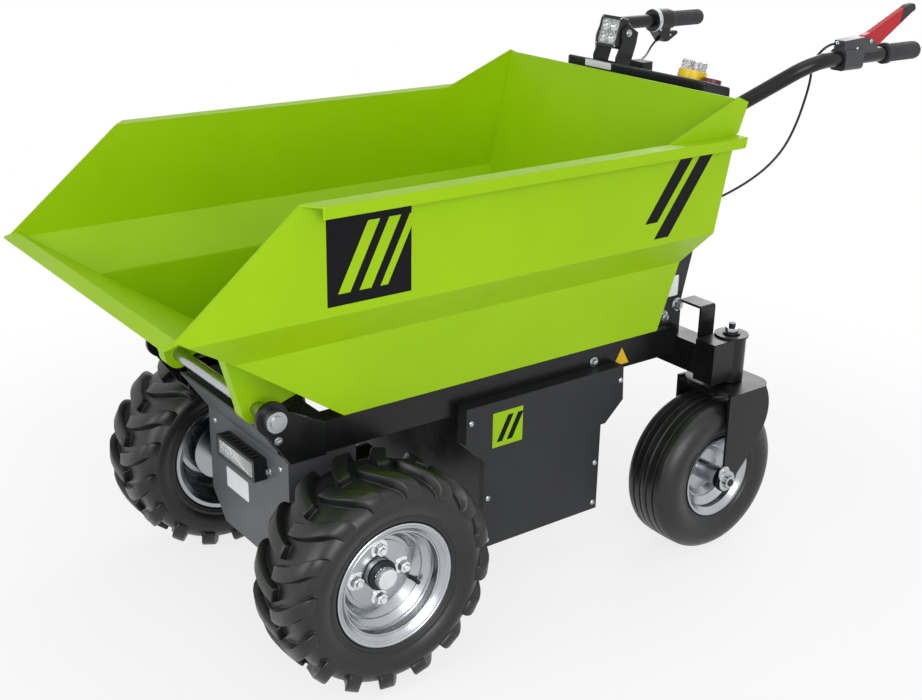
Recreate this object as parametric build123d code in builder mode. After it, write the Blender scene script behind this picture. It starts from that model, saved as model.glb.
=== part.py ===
"""Site dumper: a walk-behind battery dumper with a tipping tub, two lugged drive wheels at the
front and two swivelling castors at the back.

Millimetres, X forward (the way the tub tips), Y to the left, Z up. The origin is on the floor
under the middle of the machine's outline.
"""
import os
from math import cos, radians, sin, tan

from build123d import *

os.makedirs("parts", exist_ok=True)

# Driving dimensions
overall_length = 1732.0
lip_x = overall_length / 2
grip_end_x = -overall_length / 2
running_gap = 0.3
moving_gap = 5.0

# Drive wheels, 16 x 6.50-8 size
drive_axle_x = 491.5
drive_tyre_radius = 207.0
drive_tyre_width = 168.0
drive_track = 617.0
lug_height = 16.0
lug_count = 16
flange_steel = 4.0
bead_chamfer = 8.0
drive_rim_radius = 101.6
drive_rim_flange_radius = 116.0
drive_rim_width = 138.0

# Castor wheels, 13 x 5.00-6 size
swivel_x = -396.5
swivel_y = 294.0
castor_trail = 60.0
castor_tyre_radius = 165.0
castor_tyre_width = 128.0
castor_rim_radius = 76.2
castor_rim_flange_radius = 88.0
castor_rim_width = 104.0
castor_groove_places = (-27, -9, 9, 27)

# Tub, bent from one thickness of sheet
tub_sheet = 3.0
tub_bend_radius = 4.0
tub_floor_z = 486.0
tub_floor_half_width = 255.0
tub_crease_half_width = 274.0
tub_crease_z = 630.0
tub_half_width = 342.0
tub_shoulder_z = 703.0
tub_rail_z = 889.0
tub_rail_width = 30.0
tub_rail_drop = 20.0
tub_back_z = 955.0
tub_back_lean = 0.2
tub_side_rear_x = -217.5
tub_side_overhang = 12.0
tub_ramp_start_x = 514.5
tub_ramp_top_x = 841.5
tub_ramp_top_z = 712.0
tub_lip_z = 705.5
tub_rail_front_x = 637.5
tub_ear_front_x = -125.5
tub_ear_rear_x = -325.0

# Tipping pivot
pivot_x = 631.5
pivot_z = 495.0
pivot_shaft_radius = 12.0
pivot_rib_y = 137.0
pivot_rib_width = 28.0
pivot_rib_sheet = 5.0
pivot_rib_radius = 28.0

# Frame
rail_inner_y = 172.0
rail_outer_y = 212.0
rail_bottom_z = 403.0
rail_top_z = 463.0
rail_wall = 3.0
rail_front_x = 600.0
cheek_sheet = 8.0
cheek_y = rail_outer_y + cheek_sheet
pivot_boss_radius = 30.0
shaft_cap_radius = 19.0
shaft_cap_length = 16.0
beam_front_x = -320.0
beam_rear_x = -372.0
beam_bottom_z = 375.0
beam_top_z = 440.0
plate = 4.0
fascia_x = 566.0
fascia_half_width = 155.0
fascia_bottom_z = 140.0
fascia_top_z = 370.0
nose_x = 620.0
nose_z = 449.0
crossbar_x = 500.0
crossbar_size = 40.0
crossbar_bottom_z = 410.0
axle_tube_radius = 24.5
gear_case_radius = 62.0
gear_case_width = 104.0
motor_radius = 48.0
motor_length = 190.0
rear_crossbar_x = -140.0

# Battery box and its covers
box_rear_x = -94.0
box_front_x = 201.0
box_half_width = 228.0
box_bottom_z = 119.0
box_sheet = 3.0
cover_y = 240.0
cover_wing_rear_x = -151.0
cover_wing_front_x = 243.5
cover_top_z = 422.0
cover_wing_z = 348.0
cover_stem_z = 306.0

# Column, console and handlebars
column_half_width = 190.0
column_top_z = 850.0
column_rear_x = -429.0
column_knee = (-350.0, 514.0)
column_shoulder = (-373.5, 614.0)
column_clearance = 54.5
console_half_width = 205.0
console_top_z = 964.0
console_front_x = -345.0
console_rear_x = -432.0
console_panel_slope = 0.25
cable_block_z = 968.0
bar_radius = 15.0
bar_y = 310.0
bar_z = 1000.0
lever_half = 6.0
grip_radius = 18.5
grip_length = 112.0
grip_collar = 3.0
grip_front_x = grip_end_x + grip_length
bar_bend_x = grip_front_x + 210.0
bar_foot = (-414.0, 160.0, 866.0)
cable_radius = 2.5
gland_radius = 4.5
lamp_centre = (-392.0, -123.0, console_top_z + 54.0)
lamp_size = 66.0
lamp_tilt = radians(16)

# Routes of the two cables
brake_cable_points = [
    (grip_front_x + 144, bar_y - 4, bar_z + 30),
    (grip_front_x + 156, bar_y - 4, bar_z + 30),
    (grip_front_x + 169, bar_y - 7, bar_z + 26),
    (grip_front_x + 178, bar_y - 13, bar_z + 16),
    (grip_front_x + 181, bar_y - 23, bar_z + 2),
    (-575.0, 279.0, 981.0),
    (-579.0, 276.0, 955.0),
    (-580.0, 268.0, 918.0),
    (-574.0, 258.0, 866.0),
    (-556.0, 248.0, 815.0),
    (-519.0, 238.0, 776.0),
    (-474.0, 228.0, 749.0),
    (-432.0, 216.0, 729.0),
    (-406.0, 204.0, 717.0),
    (-392.0, 196.0, 710.0),
]
throttle_cable_points = [
    (grip_front_x + 32, -bar_y + 1, bar_z - 47),
    (grip_front_x + 52, -bar_y + 8, bar_z - 56),
    (-674.0, -284.0, 934.0),
    (-636.0, -252.0, 932.0),
    (-580.0, -202.0, 937.0),
    (-520.0, -145.0, 947.0),
    (-470.0, -95.0, 956.0),
    (-436.0, -58.0, 961.0),
    (-416.0, -36.0, 961.0),
]


def save(part, name):
    """Label a finished piece and write it."""
    part.label = name
    export_step(part, f"parts/{name}.step")


def save_both(left, name):
    """Write a piece of the left side, and its mirror image for the right side."""
    save(left, f"{name}_left")
    save(mirror(left, about=Plane.XZ), f"{name}_right")


def side_plane(y):
    """The upright plane at a distance to the left; extruding from it goes to the right."""
    return Plane.XZ.offset(-y)


def back_edge_x(z):
    """Where the rear edge of the tub's side stands at a height."""
    return tub_side_rear_x - tub_back_lean * (z - tub_floor_z)


def ramp_z(x):
    """Height of the ramp's underside."""
    slope = (tub_ramp_top_z - tub_floor_z) / (tub_ramp_top_x - tub_ramp_start_x)
    return tub_floor_z + slope * (x - tub_ramp_start_x)


# Tub
def tub_half_outline():
    """The outer line of the tub's left side, from the floor's edge up to the rail."""
    return [
        (tub_floor_half_width, tub_floor_z),
        (tub_crease_half_width, tub_crease_z),
        (tub_half_width, tub_shoulder_z),
        (tub_half_width, tub_rail_z),
    ]


def make_tub_side():
    wall_rear = tub_ear_rear_x - 10
    run = lip_x - wall_rear
    with BuildPart() as side:
        with BuildSketch(Plane.YZ.offset(wall_rear)):
            with BuildLine():
                FilletPolyline(*tub_half_outline(), radius=tub_bend_radius)
                offset(amount=tub_sheet, side=Side.LEFT)
            make_face()
        extrude(amount=run)
        with BuildSketch(Plane.YZ.offset(wall_rear)):
            with Locations((tub_half_width - tub_sheet, tub_rail_z)):
                Rectangle(tub_rail_width + tub_sheet, tub_sheet, align=(Align.MIN, Align.MAX))
            with Locations((tub_half_width + tub_rail_width, tub_rail_z)):
                Rectangle(tub_sheet, tub_rail_drop, align=(Align.MAX, Align.MAX))
        extrude(amount=run)
        with BuildSketch(side_plane(tub_half_width + tub_rail_width)):
            with BuildLine():
                Polyline(
                    (back_edge_x(tub_floor_z), tub_floor_z),
                    (tub_ramp_start_x, tub_floor_z),
                    (tub_ramp_top_x, tub_ramp_top_z),
                    (tub_ramp_top_x + 12, tub_ramp_top_z),
                    (tub_rail_front_x, tub_rail_z),
                    (back_edge_x(tub_rail_z), tub_rail_z),
                    close=True,
                )
            make_face()
        extrude(amount=tub_half_width, mode=Mode.INTERSECT)
        with BuildSketch(Plane.XY.offset(tub_rail_z)):
            with BuildLine():
                Polyline(
                    (tub_rail_front_x, tub_half_width),
                    (tub_rail_front_x - 26, tub_half_width + tub_rail_width + 1),
                    (lip_x, tub_half_width + tub_rail_width + 1),
                    (lip_x, tub_half_width),
                    close=True,
                )
            make_face()
        extrude(amount=-60, mode=Mode.SUBTRACT)
        with BuildSketch(side_plane(tub_half_width)):
            with BuildLine():
                Polyline(
                    (tub_ear_front_x, tub_rail_z),
                    (back_edge_x(tub_back_z) + tub_side_overhang, tub_back_z + 3),
                    (tub_ear_rear_x, tub_back_z - 8),
                    (back_edge_x(tub_rail_z) - 6, tub_rail_z + 2),
                    (back_edge_x(tub_rail_z), tub_rail_z),
                    close=True,
                )
            make_face()
        extrude(amount=tub_sheet)
    return side.part


def make_tub_floor(side):
    rear_x = tub_side_rear_x + tub_side_overhang
    with BuildPart() as pan:
        with BuildSketch(side_plane(tub_half_width)):
            with BuildLine():
                FilletPolyline(
                    (rear_x - tub_side_overhang, tub_floor_z),
                    (tub_ramp_start_x, tub_floor_z),
                    (tub_ramp_top_x, tub_ramp_top_z),
                    (lip_x + 5, tub_lip_z - 1.3),
                    radius=tub_bend_radius,
                )
                offset(amount=tub_sheet, side=Side.LEFT)
            make_face()
        extrude(amount=2 * tub_half_width)
        add(tub_prism(), mode=Mode.INTERSECT)
        add(side, mode=Mode.SUBTRACT)
        add(mirror(side, about=Plane.XZ), mode=Mode.SUBTRACT)
        with BuildSketch(side_plane(tub_half_width)):
            with BuildLine():
                Polyline(
                    (rear_x + tub_sheet, tub_floor_z),
                    (rear_x + tub_sheet - 2 * tub_sheet * tub_back_lean, tub_floor_z + 2 * tub_sheet),
                    (tub_ear_rear_x, tub_floor_z + 2 * tub_sheet),
                    (tub_ear_rear_x, tub_floor_z),
                    close=True,
                )
            make_face()
        extrude(amount=2 * tub_half_width, mode=Mode.SUBTRACT)
    return biggest(pan.part)


def tub_prism():
    """The space inside the tub's outer lines, run past both ends."""
    left = tub_half_outline()
    top = [(tub_half_width, tub_back_z)]
    right = [(-y, z) for y, z in reversed(left + top)]
    with BuildPart() as prism:
        with BuildSketch(Plane.YZ.offset(tub_ear_rear_x)):
            with BuildLine():
                Polyline(*left, *top, *right, close=True)
            make_face()
        extrude(amount=lip_x - tub_ear_rear_x)
    return prism.part


def make_tub_back(side):
    with BuildPart() as back:
        with BuildSketch(side_plane(tub_half_width)):
            with BuildLine():
                lower_x = back_edge_x(tub_floor_z) + tub_side_overhang
                upper_x = back_edge_x(tub_back_z) + tub_side_overhang
                Polyline(
                    (lower_x, tub_floor_z),
                    (lower_x + tub_sheet, tub_floor_z),
                    (upper_x + tub_sheet, tub_back_z),
                    (upper_x, tub_back_z),
                    close=True,
                )
            make_face()
        extrude(amount=2 * tub_half_width)
        add(tub_prism(), mode=Mode.INTERSECT)
        add(side, mode=Mode.SUBTRACT)
        add(mirror(side, about=Plane.XZ), mode=Mode.SUBTRACT)
    return biggest(back.part)


def biggest(part):
    """The largest solid of a trimmed piece, without the slivers that a trim leaves."""
    return Part(part.solids().sort_by(SortBy.VOLUME)[-1].wrapped)


def make_tub_hinge():
    """A channel under the ramp, from the sheet down round the shaft."""
    rear_x, front_x = pivot_x - 86.5, pivot_x + 58.5
    with BuildPart() as hinge:
        with BuildSketch(side_plane(pivot_rib_y + pivot_rib_width)):
            with BuildLine():
                Polyline(
                    (rear_x, ramp_z(rear_x)),
                    (front_x, ramp_z(front_x)),
                    (pivot_x + pivot_rib_radius, pivot_z),
                    (pivot_x, pivot_z - pivot_rib_radius),
                    (pivot_x - pivot_rib_radius, pivot_z - 8),
                    close=True,
                )
            make_face()
            with Locations((pivot_x, pivot_z)):
                Circle(pivot_rib_radius)
        extrude(amount=pivot_rib_width)
        with BuildSketch(side_plane(pivot_rib_y + pivot_rib_width - pivot_rib_sheet)):
            with BuildLine():
                Polyline(
                    (rear_x - 60, pivot_z - 60),
                    (rear_x - 60, tub_ramp_top_z),
                    (front_x - 6, tub_ramp_top_z),
                    (front_x - 6, ramp_z(front_x) - 2),
                    (pivot_x + pivot_rib_radius - 6, pivot_z),
                    (pivot_x + pivot_rib_radius - 6, pivot_z - 60),
                    close=True,
                )
            make_face()
        extrude(amount=pivot_rib_width - 2 * pivot_rib_sheet, mode=Mode.SUBTRACT)
        with BuildSketch(side_plane(pivot_rib_y + pivot_rib_width)):
            with Locations((pivot_x, pivot_z)):
                Circle(pivot_shaft_radius + running_gap)
        extrude(amount=pivot_rib_width, mode=Mode.SUBTRACT)
    return hinge.part


# Wheels
def make_tyre(radius, width, rim_radius, flange_radius, rim_width, wall=13.0):
    """A tyre standing at the origin with its axle along Y, open towards the rim."""
    half = width / 2
    height = radius - rim_radius
    seat = rim_width / 2 - flange_steel - running_gap
    bead_top = flange_radius + running_gap
    bulge_radius = rim_radius + 0.55 * height
    right_half = [
        (seat - bead_chamfer, rim_radius),
        (seat, rim_radius + bead_chamfer),
        (seat, bead_top),
        (half, bulge_radius),
        (half - 0.05 * width, radius - 0.16 * height),
        (0.68 * half, radius),
    ]
    inside = [
        (half - wall - 0.08 * width, radius - wall),
        (half - wall, bulge_radius),
        (seat - wall, rim_radius),
    ]
    outer = right_half + [(-y, z) for y, z in reversed(right_half)]
    inner = [(-y, z) for y, z in reversed(inside)] + inside
    with BuildPart() as tyre:
        with BuildSketch(Plane.YZ):
            with BuildLine():
                Polyline(*outer, *inner, close=True)
            make_face()
        revolve(axis=Axis.Y)
    return tyre.part


def make_lug(radius, width, height):
    """One bar of the directional tread, from just past the middle out over the shoulder."""
    half = width / 2
    root = radius - height - 6
    with BuildPart() as lug:
        with BuildSketch(Plane.XY.offset(radius)):
            with BuildLine():
                ThreePointArc((34, -3), (20, 0.48 * half), (-16, half + 1))
                Polyline((-16, half + 1), (-50, half + 1))
                ThreePointArc((-50, half + 1), (-6, 0.48 * half), (8, -6))
                Line((8, -6), (34, -3))
            make_face()
        extrude(amount=-(height + 30))
        with BuildSketch(Plane.YZ.offset(-60)):
            with BuildLine():
                Polyline(
                    (-8, root),
                    (-8, radius - 3),
                    (0.62 * half, radius - 2.2),
                    (0.9 * half, radius - 9),
                    (half, radius - 24),
                    (half - 1, radius - height - 26),
                    (half - 9, radius - height - 20),
                    (0.6 * half, root),
                    close=True,
                )
            make_face()
        extrude(amount=120, mode=Mode.INTERSECT)
    return lug.part


def make_drive_tyre():
    carcass = make_tyre(
        drive_tyre_radius - lug_height,
        drive_tyre_width - 2,
        drive_rim_radius + running_gap,
        drive_rim_flange_radius,
        drive_rim_width,
    )
    lug = make_lug(drive_tyre_radius, drive_tyre_width, lug_height)
    pitch = 360 / lug_count
    with BuildPart() as tyre:
        add(carcass)
        for index in range(lug_count):
            add(lug.rotate(Axis.Y, pitch * index))
            add(mirror(lug, about=Plane.XZ).rotate(Axis.Y, pitch * (index + 0.5)))
    return tyre.part


def make_rim(radius, flange_radius, width, disc_y, hub_radius, hub_in, hub_out, bore):
    """A pressed steel rim with its disc and hub, axle along Y, outside towards +Y."""
    half = width / 2
    steel = 3.0
    well = radius - 15
    disc_radius = well - steel
    bead_seat = [
        (half, flange_radius),
        (half - flange_steel, flange_radius),
        (half - flange_steel, radius + bead_chamfer),
        (half - flange_steel - bead_chamfer, radius),
        (half * 0.55, radius),
        (half * 0.36, well),
    ]
    barrel = [
        (half * 0.36 + 1, well - steel),
        (half * 0.55 + 2, radius - steel),
        (half - bead_chamfer - 1, radius - steel),
        (half - 1, radius + bead_chamfer - 1),
    ]
    outer = bead_seat + [(-y, z) for y, z in reversed(bead_seat)]
    inner = [(-y, z) for y, z in reversed(barrel)] + barrel
    with BuildPart() as rim:
        with BuildSketch(Plane.YZ):
            with BuildLine():
                Polyline(*outer, *inner, close=True)
            make_face()
        revolve(axis=Axis.Y)
        with BuildSketch(Plane.YZ):
            with BuildLine():
                Polyline(
                    (disc_y + 12, disc_radius + 1),
                    (disc_y + 12, disc_radius - 3),
                    (disc_y, disc_radius - 14),
                    (disc_y, hub_radius - 4),
                    (disc_y - steel, hub_radius - 4),
                    (disc_y - steel, disc_radius - 12),
                    (disc_y + 12 - steel, disc_radius + 1),
                    close=True,
                )
            make_face()
        revolve(axis=Axis.Y)
        with BuildSketch(Plane.XZ.offset(-hub_out)):
            Circle(hub_radius)
            if bore > 0:
                Circle(bore, mode=Mode.SUBTRACT)
        extrude(amount=hub_out - hub_in)
    return rim.part


def make_drive_rim():
    """The drive wheel's rim with its four nuts, and the axle stub that runs in the axle tube."""
    disc_y, hub_face = 14.0, 17.0
    hub_shape = make_rim(
        drive_rim_radius, drive_rim_flange_radius, drive_rim_width,
        disc_y, wheel_hub_radius, -stub_start, hub_face, 0
    )
    with BuildPart() as rim:
        add(hub_shape)
        with BuildSketch(Plane.XZ.offset(-hub_face)):
            with PolarLocations(wheel_nut_circle, 4):
                RegularPolygon(11, 6)
        extrude(amount=-10)
        with BuildSketch(Plane.XZ.offset(-hub_face)):
            Circle(27)
        extrude(amount=-9)
        with BuildSketch(Plane.XZ.offset(-hub_face - 9)):
            Circle(20)
        extrude(amount=-19)
        with BuildSketch(Plane.XZ.offset(stub_start)):
            Circle(stub_radius)
        extrude(amount=stub_length)
    return rim.part


def make_castor_tyre():
    with BuildPart() as tyre:
        add(
            make_tyre(
                castor_tyre_radius,
                castor_tyre_width,
                castor_rim_radius + running_gap,
                castor_rim_flange_radius,
                castor_rim_width,
            )
        )
        with BuildSketch(Plane.YZ):
            with Locations([(groove_y, castor_tyre_radius) for groove_y in castor_groove_places]):
                Rectangle(4, 8)
        revolve(axis=Axis.Y, mode=Mode.SUBTRACT)
    return tyre.part


wheel_hub_radius = 62.0
wheel_nut_circle = 48.5
stub_start = 40.0
stub_radius = 14.0
stub_length = 45.0
castor_bolt_radius = 8.0
castor_hub_half = 60.0
fork_inner = castor_tyre_width / 2 + moving_gap
fork_plate = 6.0
fork_top_z = 355.0
fork_crown = 8.0
housing_bottom_z = 358.0
housing_top_z = 456.0
housing_radius = 31.0
housing_box_width = 52.0
housing_box_height = 88.0
stem_radius = 16.0
axle_z = castor_tyre_radius


def make_fork():
    """The left castor's fork: crown, two pressed arms, the stem and the wheel's bolt."""
    axle_x = swivel_x + castor_trail
    outer = fork_inner + fork_plate
    bolt_end = outer + 14
    with BuildPart() as fork:
        with BuildSketch(Plane.XY.offset(fork_top_z - fork_crown)):
            with Locations((swivel_x + 4, swivel_y)):
                RectangleRounded(136, 2 * outer, 42)
        extrude(amount=fork_crown)
        for start in (swivel_y + outer, swivel_y - fork_inner):
            with BuildSketch(side_plane(start)):
                with BuildLine():
                    front = Polyline((axle_x + 25, axle_z), (axle_x + 8, 200), (axle_x + 10, fork_top_z))
                    top = Line(front @ 1, (swivel_x - 36, fork_top_z))
                    bulge = ThreePointArc(top @ 1, (swivel_x - 51, 309), (swivel_x - 40, 262))
                    lower = Polyline(bulge @ 1, (swivel_x + 3, 199), (axle_x - 25, axle_z))
                    ThreePointArc(lower @ 1, (axle_x, axle_z - 25), front @ 0)
                make_face()
            extrude(amount=fork_plate)
        with BuildSketch(side_plane(swivel_y + bolt_end)):
            with Locations((axle_x, axle_z)):
                Circle(castor_bolt_radius)
        extrude(amount=2 * bolt_end)
        for start in (swivel_y + outer + 10, swivel_y - outer):
            with BuildSketch(side_plane(start)):
                with Locations((axle_x, axle_z)):
                    RegularPolygon(14, 6)
            extrude(amount=10)
        with BuildSketch(Plane.XY.offset(fork_top_z)):
            with Locations((swivel_x, swivel_y)):
                Circle(22)
        extrude(amount=housing_bottom_z - fork_top_z - running_gap)
        with BuildSketch(Plane.XY.offset(fork_top_z)):
            with Locations((swivel_x, swivel_y)):
                Circle(stem_radius - running_gap)
        extrude(amount=housing_top_z + running_gap - fork_top_z)
        with BuildSketch(Plane.XY.offset(housing_top_z + running_gap)):
            with Locations((swivel_x, swivel_y)):
                Circle(stem_radius + 2)
        extrude(amount=3)
        with BuildSketch(Plane.XY.offset(housing_top_z + 3)):
            with Locations((swivel_x, swivel_y)):
                RegularPolygon(13, 6)
        extrude(amount=9)
        with BuildSketch(Plane.XY.offset(housing_top_z + 10)):
            with Locations((swivel_x, swivel_y)):
                Circle(7)
        extrude(amount=12)
    return fork.part


def make_castor_housing():
    """The swivel's tube, with the box that carries it on the end of the cross-beam."""
    cap = 4.0
    with BuildPart() as housing:
        with BuildSketch(Plane.XY.offset(housing_bottom_z)):
            with Locations((swivel_x, swivel_y)):
                Circle(housing_radius)
        extrude(amount=housing_top_z - cap - housing_bottom_z)
        with BuildSketch(Plane.XY.offset(housing_bottom_z + 6)):
            with Locations((beam_front_x, swivel_y)):
                Rectangle(beam_front_x - swivel_x, housing_box_width, align=(Align.MAX, Align.CENTER))
        extrude(amount=housing_box_height)
        with BuildSketch(Plane.XY.offset(housing_top_z - cap)):
            with Locations((swivel_x, swivel_y)):
                Circle(housing_radius + cap)
        extrude(amount=cap)
        with BuildSketch(Plane.XY.offset(housing_bottom_z)):
            with Locations((swivel_x, swivel_y)):
                Circle(stem_radius)
        extrude(amount=housing_top_z - housing_bottom_z, mode=Mode.SUBTRACT)
    return housing.part


# Frame
def make_rail():
    with BuildPart() as rail:
        with BuildSketch(Plane.YZ.offset(beam_front_x)):
            with Locations(((rail_inner_y + rail_outer_y) / 2, (rail_bottom_z + rail_top_z) / 2)):
                Rectangle(rail_outer_y - rail_inner_y, rail_top_z - rail_bottom_z)
                Rectangle(
                    rail_outer_y - rail_inner_y - 2 * rail_wall,
                    rail_top_z - rail_bottom_z - 2 * rail_wall,
                    mode=Mode.SUBTRACT,
                )
        extrude(amount=rail_front_x - beam_front_x)
    return rail.part


def make_pivot_plate():
    """The cheek welded outside the rail, which carries one end of the tipping shaft."""
    rear_x = rail_front_x - 70
    with BuildPart() as cheek:
        with BuildSketch(side_plane(cheek_y)):
            with BuildLine():
                Polyline(
                    (rear_x, rail_bottom_z),
                    (rail_front_x, rail_bottom_z),
                    (pivot_x + pivot_boss_radius, pivot_z),
                    (pivot_x - pivot_boss_radius, pivot_z + 6),
                    (rear_x, rail_top_z),
                    close=True,
                )
            make_face()
            with Locations((pivot_x, pivot_z)):
                Circle(pivot_boss_radius)
                Circle(pivot_shaft_radius + running_gap, mode=Mode.SUBTRACT)
        extrude(amount=cheek_sheet)
    return cheek.part


def make_pivot_shaft():
    """The tipping shaft across both cheeks, with a cap outside each of them."""
    end = cheek_y + shaft_cap_length + 4
    with BuildPart() as shaft:
        with BuildSketch(side_plane(end)):
            with Locations((pivot_x, pivot_z)):
                Circle(pivot_shaft_radius)
        extrude(amount=2 * end)
        for start in (cheek_y + shaft_cap_length + running_gap, -cheek_y - running_gap):
            with BuildSketch(side_plane(start)):
                with Locations((pivot_x, pivot_z)):
                    Circle(shaft_cap_radius)
            extrude(amount=shaft_cap_length)
    return shaft.part


def make_front_housing():
    """The folded plate box behind the light bar: fascia, two cheeks and the sloping nose."""
    rear_x = 430.0
    with BuildPart() as housing:
        for start in (fascia_half_width, plate - fascia_half_width):
            with BuildSketch(side_plane(start)):
                with BuildLine():
                    Polyline(
                        (rear_x, fascia_bottom_z + 20),
                        (fascia_x, fascia_bottom_z + 60),
                        (fascia_x, fascia_top_z),
                        (nose_x, nose_z),
                        (crossbar_x + crossbar_size, nose_z),
                        (crossbar_x + crossbar_size, crossbar_bottom_z),
                        (rear_x, crossbar_bottom_z),
                        close=True,
                    )
                make_face()
                with Locations((drive_axle_x, drive_tyre_radius)):
                    Circle(axle_tube_radius + running_gap, mode=Mode.SUBTRACT)
            extrude(amount=plate)
        with BuildSketch(Plane.YZ.offset(fascia_x)):
            with BuildLine():
                Polyline(
                    (fascia_half_width, fascia_top_z),
                    (fascia_half_width, fascia_bottom_z + 55),
                    (fascia_half_width - 50, fascia_bottom_z),
                    (50 - fascia_half_width, fascia_bottom_z),
                    (-fascia_half_width, fascia_bottom_z + 55),
                    (-fascia_half_width, fascia_top_z),
                    close=True,
                )
            make_face()
        extrude(amount=plate)
        with BuildSketch(side_plane(fascia_half_width)):
            with BuildLine():
                Line((fascia_x + plate, fascia_top_z - 2), (nose_x + plate, nose_z))
                offset(amount=plate, side=Side.LEFT)
            make_face()
        extrude(amount=2 * fascia_half_width)
    return housing.part


def make_crossbar(centre_x):
    with BuildPart() as bar:
        with BuildSketch(side_plane(rail_inner_y)):
            with Locations((centre_x, crossbar_bottom_z + crossbar_size / 2)):
                Rectangle(crossbar_size, crossbar_size)
                Rectangle(crossbar_size - 2 * rail_wall, crossbar_size - 2 * rail_wall, mode=Mode.SUBTRACT)
        extrude(amount=2 * rail_inner_y)
    return bar.part


def make_drive_axle():
    """The transaxle: axle tubes, gear case and the motor behind it."""
    tube_end = drive_track / 2 - stub_start - 6
    socket_depth = stub_length + 15
    with BuildPart() as axle:
        with BuildSketch(side_plane(tube_end)):
            with Locations((drive_axle_x, drive_tyre_radius)):
                Circle(axle_tube_radius)
        extrude(amount=2 * tube_end)
        with BuildSketch(side_plane(gear_case_width / 2)):
            with Locations((drive_axle_x, drive_tyre_radius)):
                Circle(gear_case_radius)
        extrude(amount=gear_case_width)
        with BuildSketch(Plane.YZ.offset(drive_axle_x)):
            with Locations((0, drive_tyre_radius + 20)):
                Circle(motor_radius)
        extrude(amount=-motor_length)
        for start in (tube_end, socket_depth - tube_end):
            with BuildSketch(side_plane(start)):
                with Locations((drive_axle_x, drive_tyre_radius)):
                    Circle(stub_radius + running_gap)
            extrude(amount=socket_depth, mode=Mode.SUBTRACT)
    return axle.part


def make_light_bar():
    """The work light's housing, with the window that its lens fills and cooling ribs on its back."""
    width, height, depth = 150.0, 44.0, 26.0
    middle_z = fascia_top_z - height
    edges = (middle_z - height / 2, middle_z + height / 2)
    with BuildPart() as bar:
        with BuildSketch(Plane.YZ.offset(fascia_x + plate)):
            with Locations((0, middle_z)):
                RectangleRounded(width, height, 5)
        extrude(amount=depth)
        with BuildSketch(Plane.YZ.offset(fascia_x + plate + depth)):
            with Locations((0, middle_z)):
                RectangleRounded(width - 16, height - 14, 3)
        extrude(amount=-4, mode=Mode.SUBTRACT)
        with BuildSketch(Plane.YZ.offset(fascia_x + plate + 5)):
            with Locations([(slot * 15, edge) for slot in range(-4, 5) for edge in edges]):
                Rectangle(6, 8)
        extrude(amount=depth - 12, mode=Mode.SUBTRACT)
    return bar.part


def make_rear_beam():
    with BuildPart() as beam:
        with BuildSketch(side_plane(swivel_y - housing_box_width / 2)):
            with Locations(((beam_front_x + beam_rear_x) / 2, (beam_bottom_z + beam_top_z) / 2)):
                width, height = beam_front_x - beam_rear_x, beam_top_z - beam_bottom_z
                Rectangle(width, height)
                Rectangle(width - 2 * rail_wall, height - 2 * rail_wall, mode=Mode.SUBTRACT)
        extrude(amount=2 * swivel_y - housing_box_width)
    return beam.part


def make_rear_bracket():
    """The bent strap from the column's foot out to the end of the cross-beam."""
    rear_x, front_x = beam_rear_x - 16, beam_rear_x + 26
    top_z, end_y = beam_top_z + 70, column_half_width + 62
    with BuildPart() as bracket:
        with BuildSketch(Plane.YZ.offset(rear_x)):
            with BuildLine():
                FilletPolyline(
                    (column_half_width, top_z), (end_y, top_z), (end_y, beam_top_z), radius=6
                )
                offset(amount=5, side=Side.RIGHT)
            make_face()
        extrude(amount=front_x - rear_x)
    return bracket.part


def make_tub_rest():
    """The rubber pad on the rail that the tub's floor lies on."""
    with BuildPart() as pad:
        with BuildSketch(Plane.XY.offset(rail_top_z)):
            with Locations((rear_crossbar_x - 10, (rail_inner_y + rail_outer_y) / 2)):
                Rectangle(60, 30)
        extrude(amount=tub_floor_z - running_gap - rail_top_z)
    return pad.part


# Battery box
def make_battery_box():
    with BuildPart() as box:
        with BuildSketch(Plane.XY.offset(box_bottom_z)):
            with Locations(((box_rear_x + box_front_x) / 2, 0)):
                Rectangle(box_front_x - box_rear_x, 2 * box_half_width)
        extrude(amount=rail_bottom_z - box_bottom_z)
        offset(amount=-box_sheet, kind=Kind.INTERSECTION, mode=Mode.SUBTRACT)
    return box.part


def make_battery():
    """A plain block at the battery's real place, closed in by its box."""
    length = box_front_x - box_rear_x - 40
    width = 2 * box_half_width - 60
    height = 175.0
    with BuildPart() as block:
        with BuildSketch(Plane.XY.offset(box_bottom_z + box_sheet)):
            with Locations(((box_rear_x + box_front_x) / 2, 0)):
                Rectangle(length, width)
        extrude(amount=height)
    return block.part


def make_cover(box):
    """The folded cover on the battery box's side, wider where it hangs from the frame rail."""
    depth = cover_y - rail_outer_y
    with BuildPart() as cover:
        with BuildSketch(side_plane(cover_y)):
            with BuildLine():
                Polyline(
                    (cover_wing_front_x, cover_top_z),
                    (cover_wing_rear_x + 4, cover_top_z),
                    (cover_wing_rear_x, cover_wing_z),
                    (box_rear_x - 12, cover_stem_z),
                    (box_rear_x, cover_stem_z),
                    (box_rear_x, box_bottom_z),
                    (box_front_x, box_bottom_z),
                    (box_front_x, cover_stem_z),
                    (cover_wing_front_x, cover_wing_z),
                    close=True,
                )
            make_face()
        extrude(amount=depth)
        back = cover.faces().sort_by(Axis.Y)[0]
        offset(amount=-box_sheet, openings=back)
        add(box, mode=Mode.SUBTRACT)
    return cover.part


# Column, console and handlebars
def column_front_x(z):
    """The column's front edge, which leans with the tub's back wall."""
    return back_edge_x(z) - column_clearance


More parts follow.
